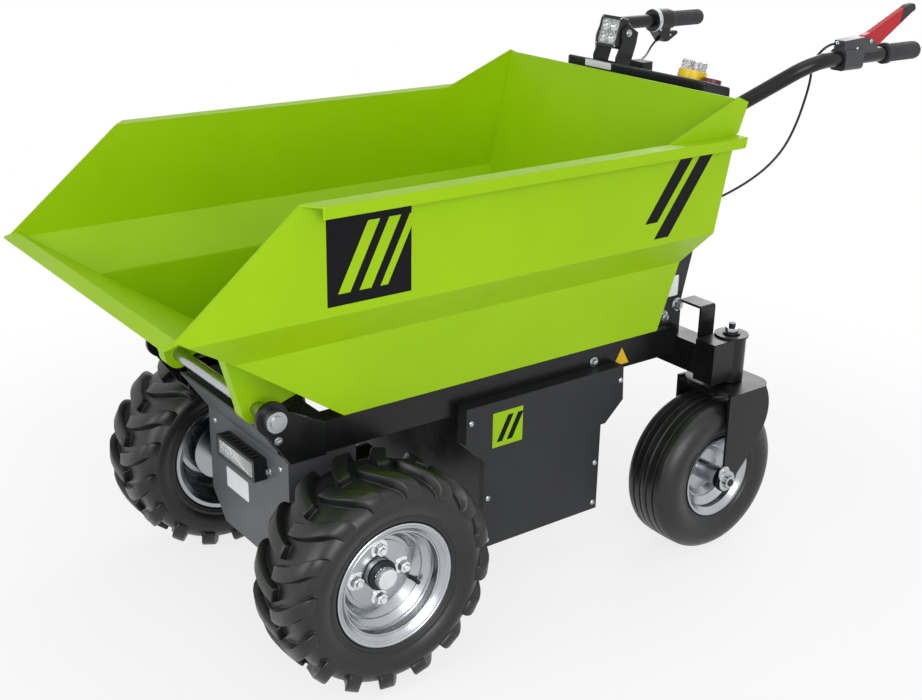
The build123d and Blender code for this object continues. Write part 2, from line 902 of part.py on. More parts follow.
def make_column():
    """The folded column: two side plates and a back plate that leans with the tub's back wall."""
    knee, shoulder, top = column_knee, column_shoulder, (column_rear_x, column_top_z)
    above, inside_front = column_top_z + 10, beam_front_x + 120
    front = [(column_front_x(column_top_z), column_top_z), (column_front_x(rail_top_z), rail_top_z)]
    foot = [(beam_front_x, rail_top_z), (beam_front_x, beam_top_z)]
    with BuildPart() as column:
        with BuildSketch(side_plane(column_half_width)):
            with BuildLine():
                Polyline((knee[0], beam_top_z), knee, shoulder, top, *front, *foot, close=True)
            make_face()
        extrude(amount=2 * column_half_width)
        with BuildSketch(side_plane(column_half_width - plate)):
            with BuildLine():
                Polyline(
                    (knee[0] + plate, beam_top_z - 10),
                    (knee[0] + plate, knee[1]),
                    (shoulder[0] + plate, shoulder[1]),
                    (column_rear_x + plate, column_top_z),
                    (column_rear_x + plate, above),
                    (inside_front, above),
                    (inside_front, beam_top_z - 10),
                    close=True,
                )
            make_face()
        extrude(amount=2 * (column_half_width - plate), mode=Mode.SUBTRACT)
        add(make_gland(brake_cable_points[-1], brake_cable_points[-2], 22))
    return column.part


def panel_z(x):
    """Height of the console's sloping panel."""
    return console_top_z - console_panel_slope * (console_front_x - x)


def panel_plane(x, y):
    """The console's panel at a place, facing up and back."""
    return Plane(origin=(x, y, panel_z(x)), x_dir=(0, 1, 0), z_dir=(-console_panel_slope, 0, 1))


def make_gland(end, before, length):
    """The sleeve that a cable's end stands on, in line with the cable."""
    inward = Vector(*end) - Vector(*before)
    with BuildPart() as sleeve:
        with BuildSketch(Plane(origin=end, z_dir=inward)):
            Circle(gland_radius)
        extrude(amount=length)
    return sleeve.part


def make_console():
    """The closed console with its sloping panel and the block where the throttle cable ends."""
    with BuildPart() as console:
        with BuildSketch(side_plane(console_half_width)):
            with BuildLine():
                Polyline(
                    (console_front_x, column_top_z),
                    (console_front_x, console_top_z),
                    (console_rear_x, panel_z(console_rear_x)),
                    (console_rear_x, column_top_z),
                    close=True,
                )
            make_face()
        extrude(amount=2 * console_half_width)
        fillet(console.edges().filter_by(Axis.Z), radius=14)
        fillet(console.faces().sort_by(Axis.Z)[-1].edges(), radius=4)
        block_x, block_y, _ = throttle_cable_points[-1]
        with BuildSketch(Plane.XY.offset(cable_block_z)):
            with Locations((block_x + 18, block_y + 12)):
                RectangleRounded(30, 42, 4)
        extrude(amount=panel_z(console_rear_x) - cable_block_z)
        add(make_gland(throttle_cable_points[-1], throttle_cable_points[-2], 8))
    return console.part


def make_handlebar(console, column):
    """The left bar, bent down and inwards, cut to sit against the console and the column."""
    route = [(grip_end_x + plate, bar_y, bar_z), (bar_bend_x, bar_y, bar_z), bar_foot]
    with BuildPart() as bar:
        add(tube_along(route, 90, bar_radius))
        add(console, mode=Mode.SUBTRACT)
        add(column, mode=Mode.SUBTRACT)
    return biggest(bar.part)


def tube_along(points, radii, tube_radius):
    """A round bar along straight runs joined by arcs."""
    with BuildPart() as tube:
        with BuildLine() as path:
            FilletPolyline(*points, radius=radii)
        start = Vector(*points[0])
        first_run = Vector(*points[1]) - start
        with BuildSketch(Plane(origin=start, z_dir=first_run)):
            Circle(tube_radius)
        sweep(path=path.line)
    return tube.part


def make_grip():
    """The ribbed rubber grip with its collar, open at the front for the bar."""
    with BuildPart() as grip:
        with BuildSketch(Plane.YZ.offset(grip_end_x)):
            with Locations((bar_y, bar_z)):
                Circle(grip_radius)
        extrude(amount=grip_length)
        fillet(grip.faces().sort_by(Axis.X)[0].edges(), radius=5)
        with BuildSketch(Plane.YZ.offset(grip_front_x)):
            with Locations((bar_y, bar_z)):
                Circle(grip_radius + grip_collar)
        extrude(amount=-14)
        with BuildSketch(Plane.YZ.offset(grip_end_x + plate)):
            with Locations((bar_y, bar_z)):
                Circle(bar_radius)
        extrude(amount=grip_length, mode=Mode.SUBTRACT)
    return grip.part


def make_brake_clamp():
    """The brake lever's bracket: a split clamp round the left bar and the body over it."""
    x = grip_front_x
    with BuildPart() as clamp:
        with BuildSketch(Plane.YZ.offset(x + 84)):
            with Locations((bar_y, bar_z - 2)):
                RectangleRounded(40, 42, 10)
        extrude(amount=56)
        with BuildSketch(side_plane(bar_y + 13)):
            with BuildLine():
                Polyline(
                    (x + 140, bar_z + 12),
                    (x + 140, bar_z + 36),
                    (x + 76, bar_z + 40),
                    (x + 40, bar_z + 28),
                    (x + 26, bar_z + 2),
                    (x + 34, bar_z - 9),
                    (x + 90, bar_z - 9),
                    (x + 96, bar_z + 12),
                    close=True,
                )
            make_face()
        extrude(amount=26)
        with BuildSketch(Plane.YZ.offset(x + 20)):
            with Locations((bar_y, bar_z)):
                Circle(bar_radius)
        extrude(amount=130, mode=Mode.SUBTRACT)
        lever_slot = side_plane(bar_y + lever_half + running_gap)
        with BuildSketch(lever_slot):
            with Locations((x + 75, bar_z + 24)):
                Rectangle(61, 60, align=(Align.MAX, Align.CENTER))
        extrude(amount=2 * (lever_half + running_gap), mode=Mode.SUBTRACT)
        add(make_gland(brake_cable_points[0], brake_cable_points[1], 10))
    return biggest(clamp.part)


def make_brake_lever():
    """The long lever that stands up and back from its pin in the bracket."""
    x = grip_front_x
    with BuildPart() as lever:
        with BuildSketch(side_plane(bar_y + lever_half)):
            with BuildLine():
                FilletPolyline(
                    (x + 75, bar_z + 41),
                    (x + 54, bar_z + 46),
                    (x - 58, bar_z + 94),
                    (x - 76, bar_z + 96),
                    (x - 84, bar_z + 84),
                    (x + 16, bar_z + 24),
                    (x + 30, bar_z + 17),
                    (x + 72, bar_z + 17),
                    (x + 75, bar_z + 41),
                    radius=4,
                    close=True,
                )
            make_face()
        extrude(amount=2 * lever_half)
    return lever.part


def make_throttle():
    """The throttle on the right bar: a ring, the box below it and the cable's sleeve."""
    x = grip_front_x
    with BuildPart() as throttle:
        with BuildSketch(Plane.YZ.offset(x + 2)):
            with Locations((-bar_y, bar_z)):
                Circle(26)
        extrude(amount=50)
        with BuildSketch(side_plane(17 - bar_y)):
            with BuildLine():
                Polyline(
                    (x + 50, bar_z + 10),
                    (x + 50, bar_z - 16),
                    (x + 20, bar_z - 50),
                    (x + 7, bar_z - 49),
                    (x - 22, bar_z - 33),
                    (x - 20, bar_z - 26),
                    (x + 3, bar_z - 26),
                    (x + 3, bar_z + 10),
                    close=True,
                )
            make_face()
        extrude(amount=34)
        with BuildSketch(Plane.YZ.offset(x)):
            with Locations((-bar_y, bar_z)):
                Circle(bar_radius)
        extrude(amount=60, mode=Mode.SUBTRACT)
        add(make_gland(throttle_cable_points[0], throttle_cable_points[1], 14))
    return throttle.part


def make_headlamp():
    """The square lamp, tilted back: bezel with four reflectors, and a finned body that tapers."""
    face = Plane(origin=lamp_centre, x_dir=(0, 1, 0), z_dir=(cos(lamp_tilt), 0, sin(lamp_tilt)))
    bezel_depth, body_depth = 19.0, 58.0
    with BuildPart() as lamp:
        with BuildSketch(face.offset(-bezel_depth)):
            RectangleRounded(lamp_size, lamp_size, 6)
        extrude(amount=bezel_depth)
        with BuildSketch(face.offset(-bezel_depth)):
            RectangleRounded(lamp_size - 8, lamp_size - 6, 4)
        with BuildSketch(face.offset(-body_depth)):
            RectangleRounded(lamp_size - 24, lamp_size - 32, 4)
        loft()
        with BuildSketch(face.offset(-body_depth)):
            with GridLocations(0, 9, 1, 5):
                Rectangle(lamp_size, 3)
        extrude(amount=body_depth - bezel_depth - 7, mode=Mode.SUBTRACT)
        with BuildSketch(face):
            RectangleRounded(lamp_size - 12, lamp_size - 12, 4)
        extrude(amount=-3, mode=Mode.SUBTRACT)
        with BuildSketch(face.offset(-3)):
            with GridLocations(25, 25, 2, 2):
                Circle(11)
        extrude(amount=-6, taper=30, mode=Mode.SUBTRACT)
    return lamp.part


def make_headlamp_bracket():
    """The lamp's yoke: a foot on the console's panel and an arm up each side."""
    front_x, rear_x = -384.0, -424.0
    lamp_x, lamp_y, lamp_z = lamp_centre
    side = lamp_size / 2
    with BuildPart() as bracket:
        with BuildSketch(side_plane(lamp_y + side + plate)):
            with BuildLine():
                Polyline(
                    (front_x, panel_z(front_x)),
                    (front_x, panel_z(front_x) + 12),
                    (lamp_x - 6, lamp_z - 24),
                    (lamp_x - 4, lamp_z + 4),
                    (lamp_x - 22, lamp_z + 16),
                    (lamp_x - 52, lamp_z - 2),
                    (lamp_x - 48, lamp_z - 26),
                    (rear_x, panel_z(rear_x)),
                    close=True,
                )
            make_face()
        extrude(amount=2 * (side + plate))
        with BuildSketch(side_plane(lamp_y + side)):
            with BuildLine():
                Polyline(
                    (front_x + 20, panel_z(front_x + 20) + plate),
                    (front_x + 20, lamp_z + 40),
                    (rear_x - 60, lamp_z + 40),
                    (rear_x - 60, panel_z(rear_x - 60) + plate),
                    close=True,
                )
            make_face()
        extrude(amount=2 * side, mode=Mode.SUBTRACT)
    return bracket.part


def make_button(name, x, y, lift, radius, height):
    """A turned piece standing on the console's panel, or on another one that is already there."""
    with BuildPart() as turned:
        with BuildSketch(panel_plane(x, y).offset(lift)):
            Circle(radius)
        extrude(amount=height)
        fillet(turned.faces().sort_by(Axis.Z)[-1].edges(), radius=2)
    save(turned.part, name)


def cord_radii(name, points):
    """Arc radii that a cord's runs allow, printed with the sharpest turn."""
    vectors = [Vector(*point) for point in points]
    radii = []
    for before, here, after in zip(vectors, vectors[1:], vectors[2:]):
        first, second = here - before, after - here
        turn = first.get_angle(second)
        radii.append(0.45 * min(first.length, second.length) / tan(radians(turn / 2)))
    print(name, "radii", [round(radius) for radius in radii])
    return radii




def make_all():
    side = make_tub_side()
    floor = make_tub_floor(side)
    back = make_tub_back(side)
    save_both(side, "tub_side")
    save(floor, "tub_floor")
    save(back, "tub_back")
    save_both(make_tub_hinge(), "tub_hinge")

    hub_place = Location((drive_axle_x, drive_track / 2, drive_tyre_radius))
    save_both(make_drive_tyre().moved(hub_place), "drive_tyre")
    save_both(make_drive_rim().moved(hub_place), "drive_rim")

    castor_place = Location((swivel_x + castor_trail, swivel_y, castor_tyre_radius))
    save_both(make_castor_tyre().moved(castor_place), "castor_tyre")
    castor_rim = make_rim(
        castor_rim_radius, castor_rim_flange_radius, castor_rim_width,
        6, 20, -castor_hub_half, castor_hub_half, castor_bolt_radius + running_gap
    )
    save_both(castor_rim.moved(castor_place), "castor_rim")
    save_both(make_fork(), "castor_fork")
    save_both(make_castor_housing(), "castor_housing")

    save_both(make_rail(), "frame_rail")
    save_both(make_pivot_plate(), "pivot_plate")
    save(make_pivot_shaft(), "pivot_shaft")
    save(make_front_housing(), "front_housing")
    save(make_crossbar(crossbar_x + crossbar_size / 2), "crossbar_front")
    save(make_crossbar(rear_crossbar_x), "crossbar_rear")
    save(make_rear_beam(), "rear_beam")
    save_both(make_rear_bracket(), "rear_bracket")
    save_both(make_tub_rest(), "tub_rest")
    save(make_drive_axle(), "drive_axle")
    save(make_light_bar(), "light_bar")

    box = make_battery_box()
    save(box, "battery_box")
    save(make_battery(), "battery")
    save_both(make_cover(box), "battery_cover")

    column = make_column()
    console = make_console()
    save(column, "column")
    save(console, "console")
    save_both(make_handlebar(console, column), "handlebar")
    save_both(make_grip(), "grip")
    save(make_brake_clamp(), "brake_clamp")
    save(make_brake_lever(), "brake_lever")
    save(make_throttle(), "throttle")
    save(make_headlamp(), "headlamp")
    save(make_headlamp_bracket(), "headlamp_bracket")
    make_button("guard_base", -400, 120, 0, 29, 18)
    make_button("guard_cap", -400, 120, 18, 27, 20)
    make_button("stop_knob", -404, 172, 0, 19, 9)

    brake_radii = cord_radii("brake_cable", brake_cable_points)
    save(tube_along(brake_cable_points, brake_radii, cable_radius), "brake_cable")
    throttle_radii = cord_radii("throttle_cable", throttle_cable_points)
    save(tube_along(throttle_cable_points, throttle_radii, cable_radius), "throttle_cable")


make_all()
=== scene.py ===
"""Looks of the site dumper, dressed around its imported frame. Metres, X forward, Y left, Z up."""
import math

import bmesh
import bpy
from mathutils import Matrix, Vector


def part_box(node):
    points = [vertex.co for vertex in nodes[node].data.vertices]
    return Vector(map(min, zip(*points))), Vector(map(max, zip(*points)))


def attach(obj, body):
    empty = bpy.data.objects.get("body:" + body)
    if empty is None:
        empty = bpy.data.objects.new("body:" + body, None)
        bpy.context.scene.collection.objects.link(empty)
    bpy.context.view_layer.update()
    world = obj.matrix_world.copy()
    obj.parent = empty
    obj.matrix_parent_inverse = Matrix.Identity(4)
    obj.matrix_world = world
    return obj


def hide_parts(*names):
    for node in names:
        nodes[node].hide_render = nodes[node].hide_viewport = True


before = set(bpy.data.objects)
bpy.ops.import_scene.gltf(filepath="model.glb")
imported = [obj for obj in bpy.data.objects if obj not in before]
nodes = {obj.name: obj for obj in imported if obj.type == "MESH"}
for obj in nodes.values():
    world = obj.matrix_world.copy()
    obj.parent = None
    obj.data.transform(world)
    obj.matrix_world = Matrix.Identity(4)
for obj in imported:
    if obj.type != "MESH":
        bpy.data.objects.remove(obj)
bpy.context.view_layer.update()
MM = 0.001
SIDES = (("left", 1), ("right", -1))

# Places in mm on the machine's left side; on the right side their Y is negative
DRIVE_HUB = (491.5, 308.5, 207)
CASTOR_HUB = (-336.5, 294, 165)
SWIVEL_TOP = (-396.5, 294, 457.6)
BAR_Y, BAR_Z = 310, 1000
CABLE_ENTRY = (-614.2, 306, 1030)
FASCIA_X = 570
RAIL_Y = 212
BEAM_REAR_X = -372
TUB_WALL_Y = 342


def on_side(place_mm, side):
    """The same place on the machine's left for 1, or on its right for -1."""
    x, y, z = place_mm
    return (x, side * y, z)


def linear(hex_colour):
    """An sRGB hex colour as linear red, green, blue and alpha."""
    channels = [int(hex_colour[i:i + 2], 16) / 255 for i in (1, 3, 5)]
    return [c / 12.92 if c <= 0.04045 else ((c + 0.055) / 1.055) ** 2.4 for c in channels] + [1.0]


# Camera, solved from the photograph's own perspective
PHOTO_WIDTH_PX = 922
FOCAL_LENGTH_PX = 1304.75
camera_data = bpy.data.cameras.new("camera")
camera_data.sensor_fit = "HORIZONTAL"
camera_data.sensor_width = 36.0
camera_data.lens = FOCAL_LENGTH_PX / PHOTO_WIDTH_PX * camera_data.sensor_width
camera = bpy.data.objects.new("camera", camera_data)
bpy.context.scene.collection.objects.link(camera)
camera_right = Vector((-0.80431, 0.59396, 0.01731)).normalized()
camera_back = Vector((0.55832, 0.74543, 0.36416)).normalized()
camera_up = camera_back.cross(camera_right).normalized()
camera_right = camera_up.cross(camera_back).normalized()
camera_place = Matrix((camera_right, camera_up, camera_back)).transposed().to_4x4()
camera_place.translation = Vector((1.56281, 1.97998, 1.39408))
camera.matrix_world = camera_place
bpy.context.scene.camera = camera
bpy.context.scene.view_settings.view_transform = "Standard"


# World and lamps
def add_node(tree, kind, inputs=None, **settings):
    """Add a node, set its properties, and give each input a value or a link."""
    node = tree.nodes.new(kind)
    for key, value in settings.items():
        setattr(node, key, value)
    for key, value in (inputs or {}).items():
        if isinstance(value, bpy.types.NodeSocket):
            tree.links.new(value, node.inputs[key])
        else:
            node.inputs[key].default_value = value
    return node


def seen_directly(tree):
    """1 for a ray from the eye, off a gloss or through clear plastic, and 0 for light falling on things."""
    path = add_node(tree, "ShaderNodeLightPath")
    gloss = add_node(tree, "ShaderNodeMath", operation="MAXIMUM",
                     inputs={0: path.outputs["Is Camera Ray"], 1: path.outputs["Is Glossy Ray"]})
    seen = add_node(tree, "ShaderNodeMath", operation="MAXIMUM",
                    inputs={0: gloss.outputs[0], 1: path.outputs["Is Transmission Ray"]})
    return seen.outputs[0]


def make_world():
    """An even pale studio: white behind the object, a softer grey for what lights it."""
    world = bpy.data.worlds.new("studio")
    bpy.context.scene.world = world
    world.use_nodes = True
    tree = world.node_tree
    tree.nodes.clear()
    light = add_node(tree, "ShaderNodeBackground", {"Color": linear("#F4F6FA"), "Strength": 0.42})
    backdrop = add_node(tree, "ShaderNodeBackground", {"Color": linear("#FFFFFF"), "Strength": 1.0})
    mix = add_node(tree, "ShaderNodeMixShader",
                   {0: seen_directly(tree), 1: light.outputs[0], 2: backdrop.outputs[0]})
    add_node(tree, "ShaderNodeOutputWorld", {"Surface": mix.outputs[0]})


def add_lamp(name, place, target, size, watts):
    """An oblong white softbox, turned towards its target."""
    lamp_data = bpy.data.lights.new(name, "AREA")
    lamp_data.shape = "RECTANGLE"
    lamp_data.size, lamp_data.size_y = size
    lamp_data.energy = watts
    lamp = bpy.data.objects.new(name, lamp_data)
    bpy.context.scene.collection.objects.link(lamp)
    lamp.location = place
    lamp.rotation_euler = (Vector(target) - Vector(place)).to_track_quat("-Z", "Y").to_euler()


# The key stands at the machine's left, where the photograph is taken from, and the rest only soften it
make_world()
add_lamp("key_softbox", (1.4, 3.8, 1.9), (0, 0, 0.45), (2.6, 2.0), 80)
add_lamp("top_softbox", (-0.2, 0.2, 3.6), (0, 0, 0.5), (3.0, 2.4), 22)
add_lamp("front_fill", (3.6, 0.2, 1.6), (0.2, 0, 0.5), (2.2, 1.8), 34)
add_lamp("rear_fill", (-3.4, -1.6, 2.2), (0, 0, 0.5), (2.2, 1.8), 34)


# Materials
NOISE_LOW, NOISE_HIGH = 0.3, 0.7  # nearly all of a noise's values lie between these two


def new_material(name):
    """A material with an empty tree, its shader, its output and the piece's own coordinates."""
    material = bpy.data.materials.new(name)
    material.use_nodes = True
    tree = material.node_tree
    tree.nodes.clear()
    shader = add_node(tree, "ShaderNodeBsdfPrincipled")
    add_node(tree, "ShaderNodeOutputMaterial", {"Surface": shader.outputs[0]})
    place = add_node(tree, "ShaderNodeTexCoord").outputs["Object"]
    return material, tree, shader, place


def lumps(place, size_mm, detail=2.0):
    """What a noise needs for lumps about size_mm across."""
    return {"Vector": place, "Scale": 1000 / size_mm, "Detail": detail, "Roughness": 0.55}


def drift_colour(tree, shader, patches, low_hex, high_hex):
    """Let the colour drift between two hex values over patches."""
    noise = add_node(tree, "ShaderNodeTexNoise", patches)
    ramp = add_node(tree, "ShaderNodeValToRGB", {"Fac": noise.outputs["Fac"]})
    first, last = ramp.color_ramp.elements
    first.position = NOISE_LOW
    first.color = linear(low_hex)
    last.position = NOISE_HIGH
    last.color = linear(high_hex)
    tree.links.new(ramp.outputs["Color"], shader.inputs["Base Color"])


def drift_gloss(tree, shader, patches, smoothest, roughest):
    """Let the roughness drift between two values over patches, as handling and dust leave it."""
    noise = add_node(tree, "ShaderNodeTexNoise", patches)
    reach = add_node(tree, "ShaderNodeMapRange", {"Value": noise.outputs["Fac"], "From Min": NOISE_LOW,
                                                  "From Max": NOISE_HIGH, "To Min": smoothest,
                                                  "To Max": roughest})
    tree.links.new(reach.outputs["Result"], shader.inputs["Roughness"])


def raise_surface(tree, shader, noise, strength, depth_mm, edge_mm):
    """Round the edges to the eye by edge_mm, and raise the noise on them as a fine relief."""
    rounded = add_node(tree, "ShaderNodeBevel", {"Radius": edge_mm * MM}, samples=4)
    bump = add_node(tree, "ShaderNodeBump", {"Height": noise.outputs["Fac"], "Strength": strength,
                                             "Distance": depth_mm * MM, "Normal": rounded.outputs[0]})
    tree.links.new(bump.outputs[0], shader.inputs["Normal"])


def powder_coat(name, low_hex, high_hex, roughness, peel_mm=2.2, peel=0.12, edge_mm=1.2, gloss=0.5):
    """Powder-coated steel, baked: soft orange peel and slightly rounded paint on the edges."""
    material, tree, shader, place = new_material(name)
    shader.inputs["Specular IOR Level"].default_value = gloss
    drift_colour(tree, shader, lumps(place, 160), low_hex, high_hex)
    drift_gloss(tree, shader, lumps(place, 55, 4), roughness - 0.05, roughness + 0.07)
    orange_peel = add_node(tree, "ShaderNodeTexNoise", lumps(place, peel_mm))
    raise_surface(tree, shader, orange_peel, peel, 0.2, edge_mm)
    return material


def zinc_plate(name, low_hex, high_hex, roughness, axle=None):
    """Bright zinc-plated steel: finely clouded, or with the rings that spinning leaves round an axle."""
    material, tree, shader, place = new_material(name)
    shader.inputs["Metallic"].default_value = 1.0
    drift_colour(tree, shader, lumps(place, 60), low_hex, high_hex)
    drift_gloss(tree, shader, lumps(place, 30, 3), roughness - 0.03, roughness + 0.05)
    if axle is None:
        marks = add_node(tree, "ShaderNodeTexNoise", lumps(place, 1.6, 3))
    else:
        ring_mm = 1.8
        offset = add_node(tree, "ShaderNodeVectorMath", {0: place, 1: axle}, operation="SUBTRACT")
        flat = add_node(tree, "ShaderNodeVectorMath", {0: offset.outputs[0], 1: (1, 0, 1)},
                        operation="MULTIPLY")
        reach = add_node(tree, "ShaderNodeVectorMath", {0: flat.outputs[0]}, operation="LENGTH")
        marks = add_node(tree, "ShaderNodeTexNoise", noise_dimensions="1D",
                         inputs={"W": reach.outputs["Value"], "Scale": 1000 / ring_mm, "Detail": 2.0})
    raise_surface(tree, shader, marks, 0.1, 0.1, 0.8)
    return material


def moulded(name, low_hex, high_hex, roughness, grain_mm=0.9, relief=0.15, edge_mm=0.8, gloss=0.5):
    """Moulded plastic or rubber with a fine spark-eroded grain, drawn a little coarse to show."""
    material, tree, shader, place = new_material(name)
    shader.inputs["Specular IOR Level"].default_value = gloss
    drift_colour(tree, shader, lumps(place, 40, 3), low_hex, high_hex)
    drift_gloss(tree, shader, lumps(place, 9, 3), roughness - 0.06, roughness + 0.06)
    grain = add_node(tree, "ShaderNodeTexNoise", lumps(place, grain_mm))
    raise_surface(tree, shader, grain, relief, 0.2, edge_mm)
    return material


def clear_plastic(name):
    """Clear polycarbonate, moulded thin: almost colourless, with a sharp gloss and a faint swirl."""
    material, tree, shader, place = new_material(name)
    shader.inputs["Base Color"].default_value = linear("#F2F5F6")
    shader.inputs["Roughness"].default_value = 0.08
    shader.inputs["IOR"].default_value = 1.5
    shader.inputs["Transmission Weight"].default_value = 0.82
    swirl = add_node(tree, "ShaderNodeTexNoise", lumps(place, 14))
    bump = add_node(tree, "ShaderNodeBump", {"Height": swirl.outputs["Fac"], "Strength": 0.08,
                                             "Distance": 0.4 * MM})
    tree.links.new(bump.outputs[0], shader.inputs["Normal"])
    return material


# Lime powder coat of the tub: satin, its gloss low so that the white studio doesn't veil the colour
green_enamel = powder_coat("green_powder_coat", "#97C200", "#9CC702", 0.42, gloss=0.22)
# Black powder coat of the frame and bars: deep, with an orange peel that breaks up its highlights
black_enamel = powder_coat("black_powder_coat", "#0D0E0F", "#131415", 0.28, peel_mm=2.6, peel=0.2, gloss=0.32)
# Anthracite powder coat of the covers and the column: duller and finely pebbled
cover_paint = powder_coat("anthracite_powder_coat", "#232426", "#292A2C", 0.46, peel_mm=1.6, peel=0.2,
                          gloss=0.3)
# Grey powder coat of the fascia: as pebbled, and clearly lighter
fascia_paint = powder_coat("grey_powder_coat", "#515255", "#58595C", 0.46, peel_mm=1.6, peel=0.2)
# Carbon-black tyre rubber: a soft sheen along rounded edges
tread_rubber = moulded("tyre_rubber", "#101112", "#18191A", 0.37, grain_mm=1.4, relief=0.2, edge_mm=2.0)
# Softer rubber of the grips: matt, and greyer than the tyres
grip_rubber = moulded("grip_rubber", "#202124", "#2A2B2E", 0.62)
# Black moulded ABS of the console, lamps and controls: even, half gloss
moulded_black = moulded("moulded_abs", "#121315", "#1A1B1D", 0.36, gloss=0.34)
# Grey lacquer on the die-cast brake clamp: pebbled by the casting under it
clamp_metal = powder_coat("die_cast_grey_lacquer", "#2C2D31", "#36373C", 0.36, peel_mm=1.4, peel=0.25)
# Red lacquer of the brake lever: smooth and bright
red_lacquer = powder_coat("red_lacquer", "#B4161B", "#C21D22", 0.3, gloss=0.3)
# Yellow ABS under the switch guard, and the dark red ABS of the stop knob and the key
yellow_plastic = moulded("yellow_abs", "#E6C200", "#F0CE08", 0.35)
knob_red = moulded("dark_red_abs", "#5A0E1A", "#701321", 0.35)
clear = clear_plastic("clear_polycarbonate")
# Zinc plate: cloudy on the bolts, brighter where a rim's lip was rolled, even on the rims and the shaft
bolt_zinc = zinc_plate("bolt_zinc", "#A9ADB2", "#C6CACE", 0.28)
rim_lip_zinc = zinc_plate("rolled_lip_zinc", "#B4B7BB", "#C2C5C9", 0.22)
EVEN_ZINC = ("#A9ACB0", "#B6B9BD", 0.25)
# Vapour-coated reflectors of the lamps, near a mirror, and the chromed hub caps and wheel nuts
lamp_reflector = zinc_plate("vapour_coated_reflector", "#DADDE0", "#ECEEF0", 0.12)
# Cut vinyl films: smooth and even, with little gloss on the dark and the lime ones
VINYL = {"grain_mm": 3.0, "relief": 0.04, "edge_mm": 0.2}
black_vinyl = moulded("black_vinyl_film", "#08090B", "#0D0E11", 0.4, gloss=0.12, **VINYL)
green_vinyl = moulded("green_vinyl_film", "#97C200", "#9CC702", 0.4, gloss=0.22, **VINYL)
white_vinyl = moulded("white_vinyl_film", "#E9EAEC", "#F2F3F4", 0.34, **VINYL)
yellow_vinyl = moulded("yellow_vinyl_film", "#E2B400", "#ECC008", 0.34, **VINYL)
# Phosphor gel over the LEDs: pale yellow and smooth
led_phosphor = moulded("led_phosphor", "#F0E6B8", "#F6F0D2", 0.3, grain_mm=1.0, relief=0.1, edge_mm=0.1)


def paint(material, *names):
    """Give whole CAD nodes a material; a name that ends in _ stands for its left and its right node."""
    for name in names:
        pair = [name + side_name for side_name, _ in SIDES]
        for node in pair if name.endswith("_") else [name]:
            mesh = nodes[node].data
            mesh.materials.clear()
            mesh.materials.append(material)


paint(green_enamel, "tub_floor", "tub_back", "tub_side_", "tub_hinge_")
paint(tread_rubber, "drive_tyre_", "castor_tyre_")
for side_name, side in SIDES:
    for wheel in ("drive", "castor"):
        low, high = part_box(f"{wheel}_rim_{side_name}")
        rim_zinc = zinc_plate(f"{wheel}_rim_zinc_{side_name}", *EVEN_ZINC, axle=(low + high) / 2)
        paint(rim_zinc, f"{wheel}_rim_{side_name}")
paint(zinc_plate("shaft_zinc", *EVEN_ZINC), "pivot_shaft")
paint(black_enamel, "crossbar_front", "crossbar_rear", "rear_beam", "drive_axle", "battery_box", "battery",
      "frame_rail_", "pivot_plate_", "castor_housing_", "castor_fork_", "rear_bracket_", "handlebar_")
paint(fascia_paint, "front_housing")
paint(cover_paint, "column", "battery_cover_")
paint(moulded_black, "console", "light_bar", "headlamp", "headlamp_bracket", "throttle", "brake_cable",
      "throttle_cable", "tub_rest_")
paint(grip_rubber, "grip_")
paint(clamp_metal, "brake_clamp")
paint(red_lacquer, "brake_lever")
paint(yellow_plastic, "guard_base")
paint(clear, "guard_cap")
paint(knob_red, "stop_knob")


def make_floor():
    """A pale seamless studio floor that keeps the machine's soft shadow and turns white away from it."""
    mesh = bmesh.new()
    bmesh.ops.create_grid(mesh, x_segments=1, y_segments=1, size=14.0)
    data = bpy.data.meshes.new("studio_floor")
    mesh.to_mesh(data)
    mesh.free()
    floor = bpy.data.objects.new("studio_floor", data)
    bpy.context.scene.collection.objects.link(floor)
    material, tree, shader, place = new_material("floor_paper")
    shader.inputs["Roughness"].default_value = 0.9
    shader.inputs["Specular IOR Level"].default_value = 0.1
    drift_colour(tree, shader, lumps(place, 700), "#F1F1F2", "#F5F5F6")
    white = add_node(tree, "ShaderNodeEmission", {"Color": linear("#FFFFFF"), "Strength": 1.0})
    # Up to 0.8 m from the machine's middle the paper and its shadow show most, and from 1.9 m on all is white
    reach = add_node(tree, "ShaderNodeVectorMath", {0: place}, operation="LENGTH")
    far = add_node(tree, "ShaderNodeMapRange", interpolation_type="SMOOTHSTEP",
                   inputs={"Value": reach.outputs["Value"], "From Min": 0.8, "From Max": 1.9,
                           "To Min": 0.78, "To Max": 1.0})
    share = add_node(tree, "ShaderNodeMath", {0: seen_directly(tree), 1: far.outputs["Result"]},
                     operation="MULTIPLY")
    mix = add_node(tree, "ShaderNodeMixShader",
                   {0: share.outputs[0], 1: shader.outputs[0], 2: white.outputs[0]})
    tree.links.new(mix.outputs[0], tree.nodes["Material Output"].inputs["Surface"])
    data.materials.append(material)


make_floor()


# Cables
def make_cord(name, points_mm, diameter_mm):
    """A black sleeved cable along control points, as one smooth curve."""
    curve = bpy.data.curves.new(name, "CURVE")
    curve.dimensions = "3D"
    curve.resolution_u = 12
    curve.bevel_depth = diameter_mm / 2 * MM
    curve.bevel_resolution = 4
    curve.use_fill_caps = True
    spline = curve.splines.new("NURBS")
    spline.points.add(len(points_mm) - 1)
    for point, place in zip(spline.points, points_mm):
        point.co = (*(c * MM for c in place), 1.0)
    spline.order_u = 3
    spline.use_endpoint_u = True
    curve.materials.append(moulded_black)
    cord = bpy.data.objects.new(name, curve)
    bpy.context.scene.collection.objects.link(cord)
    return cord


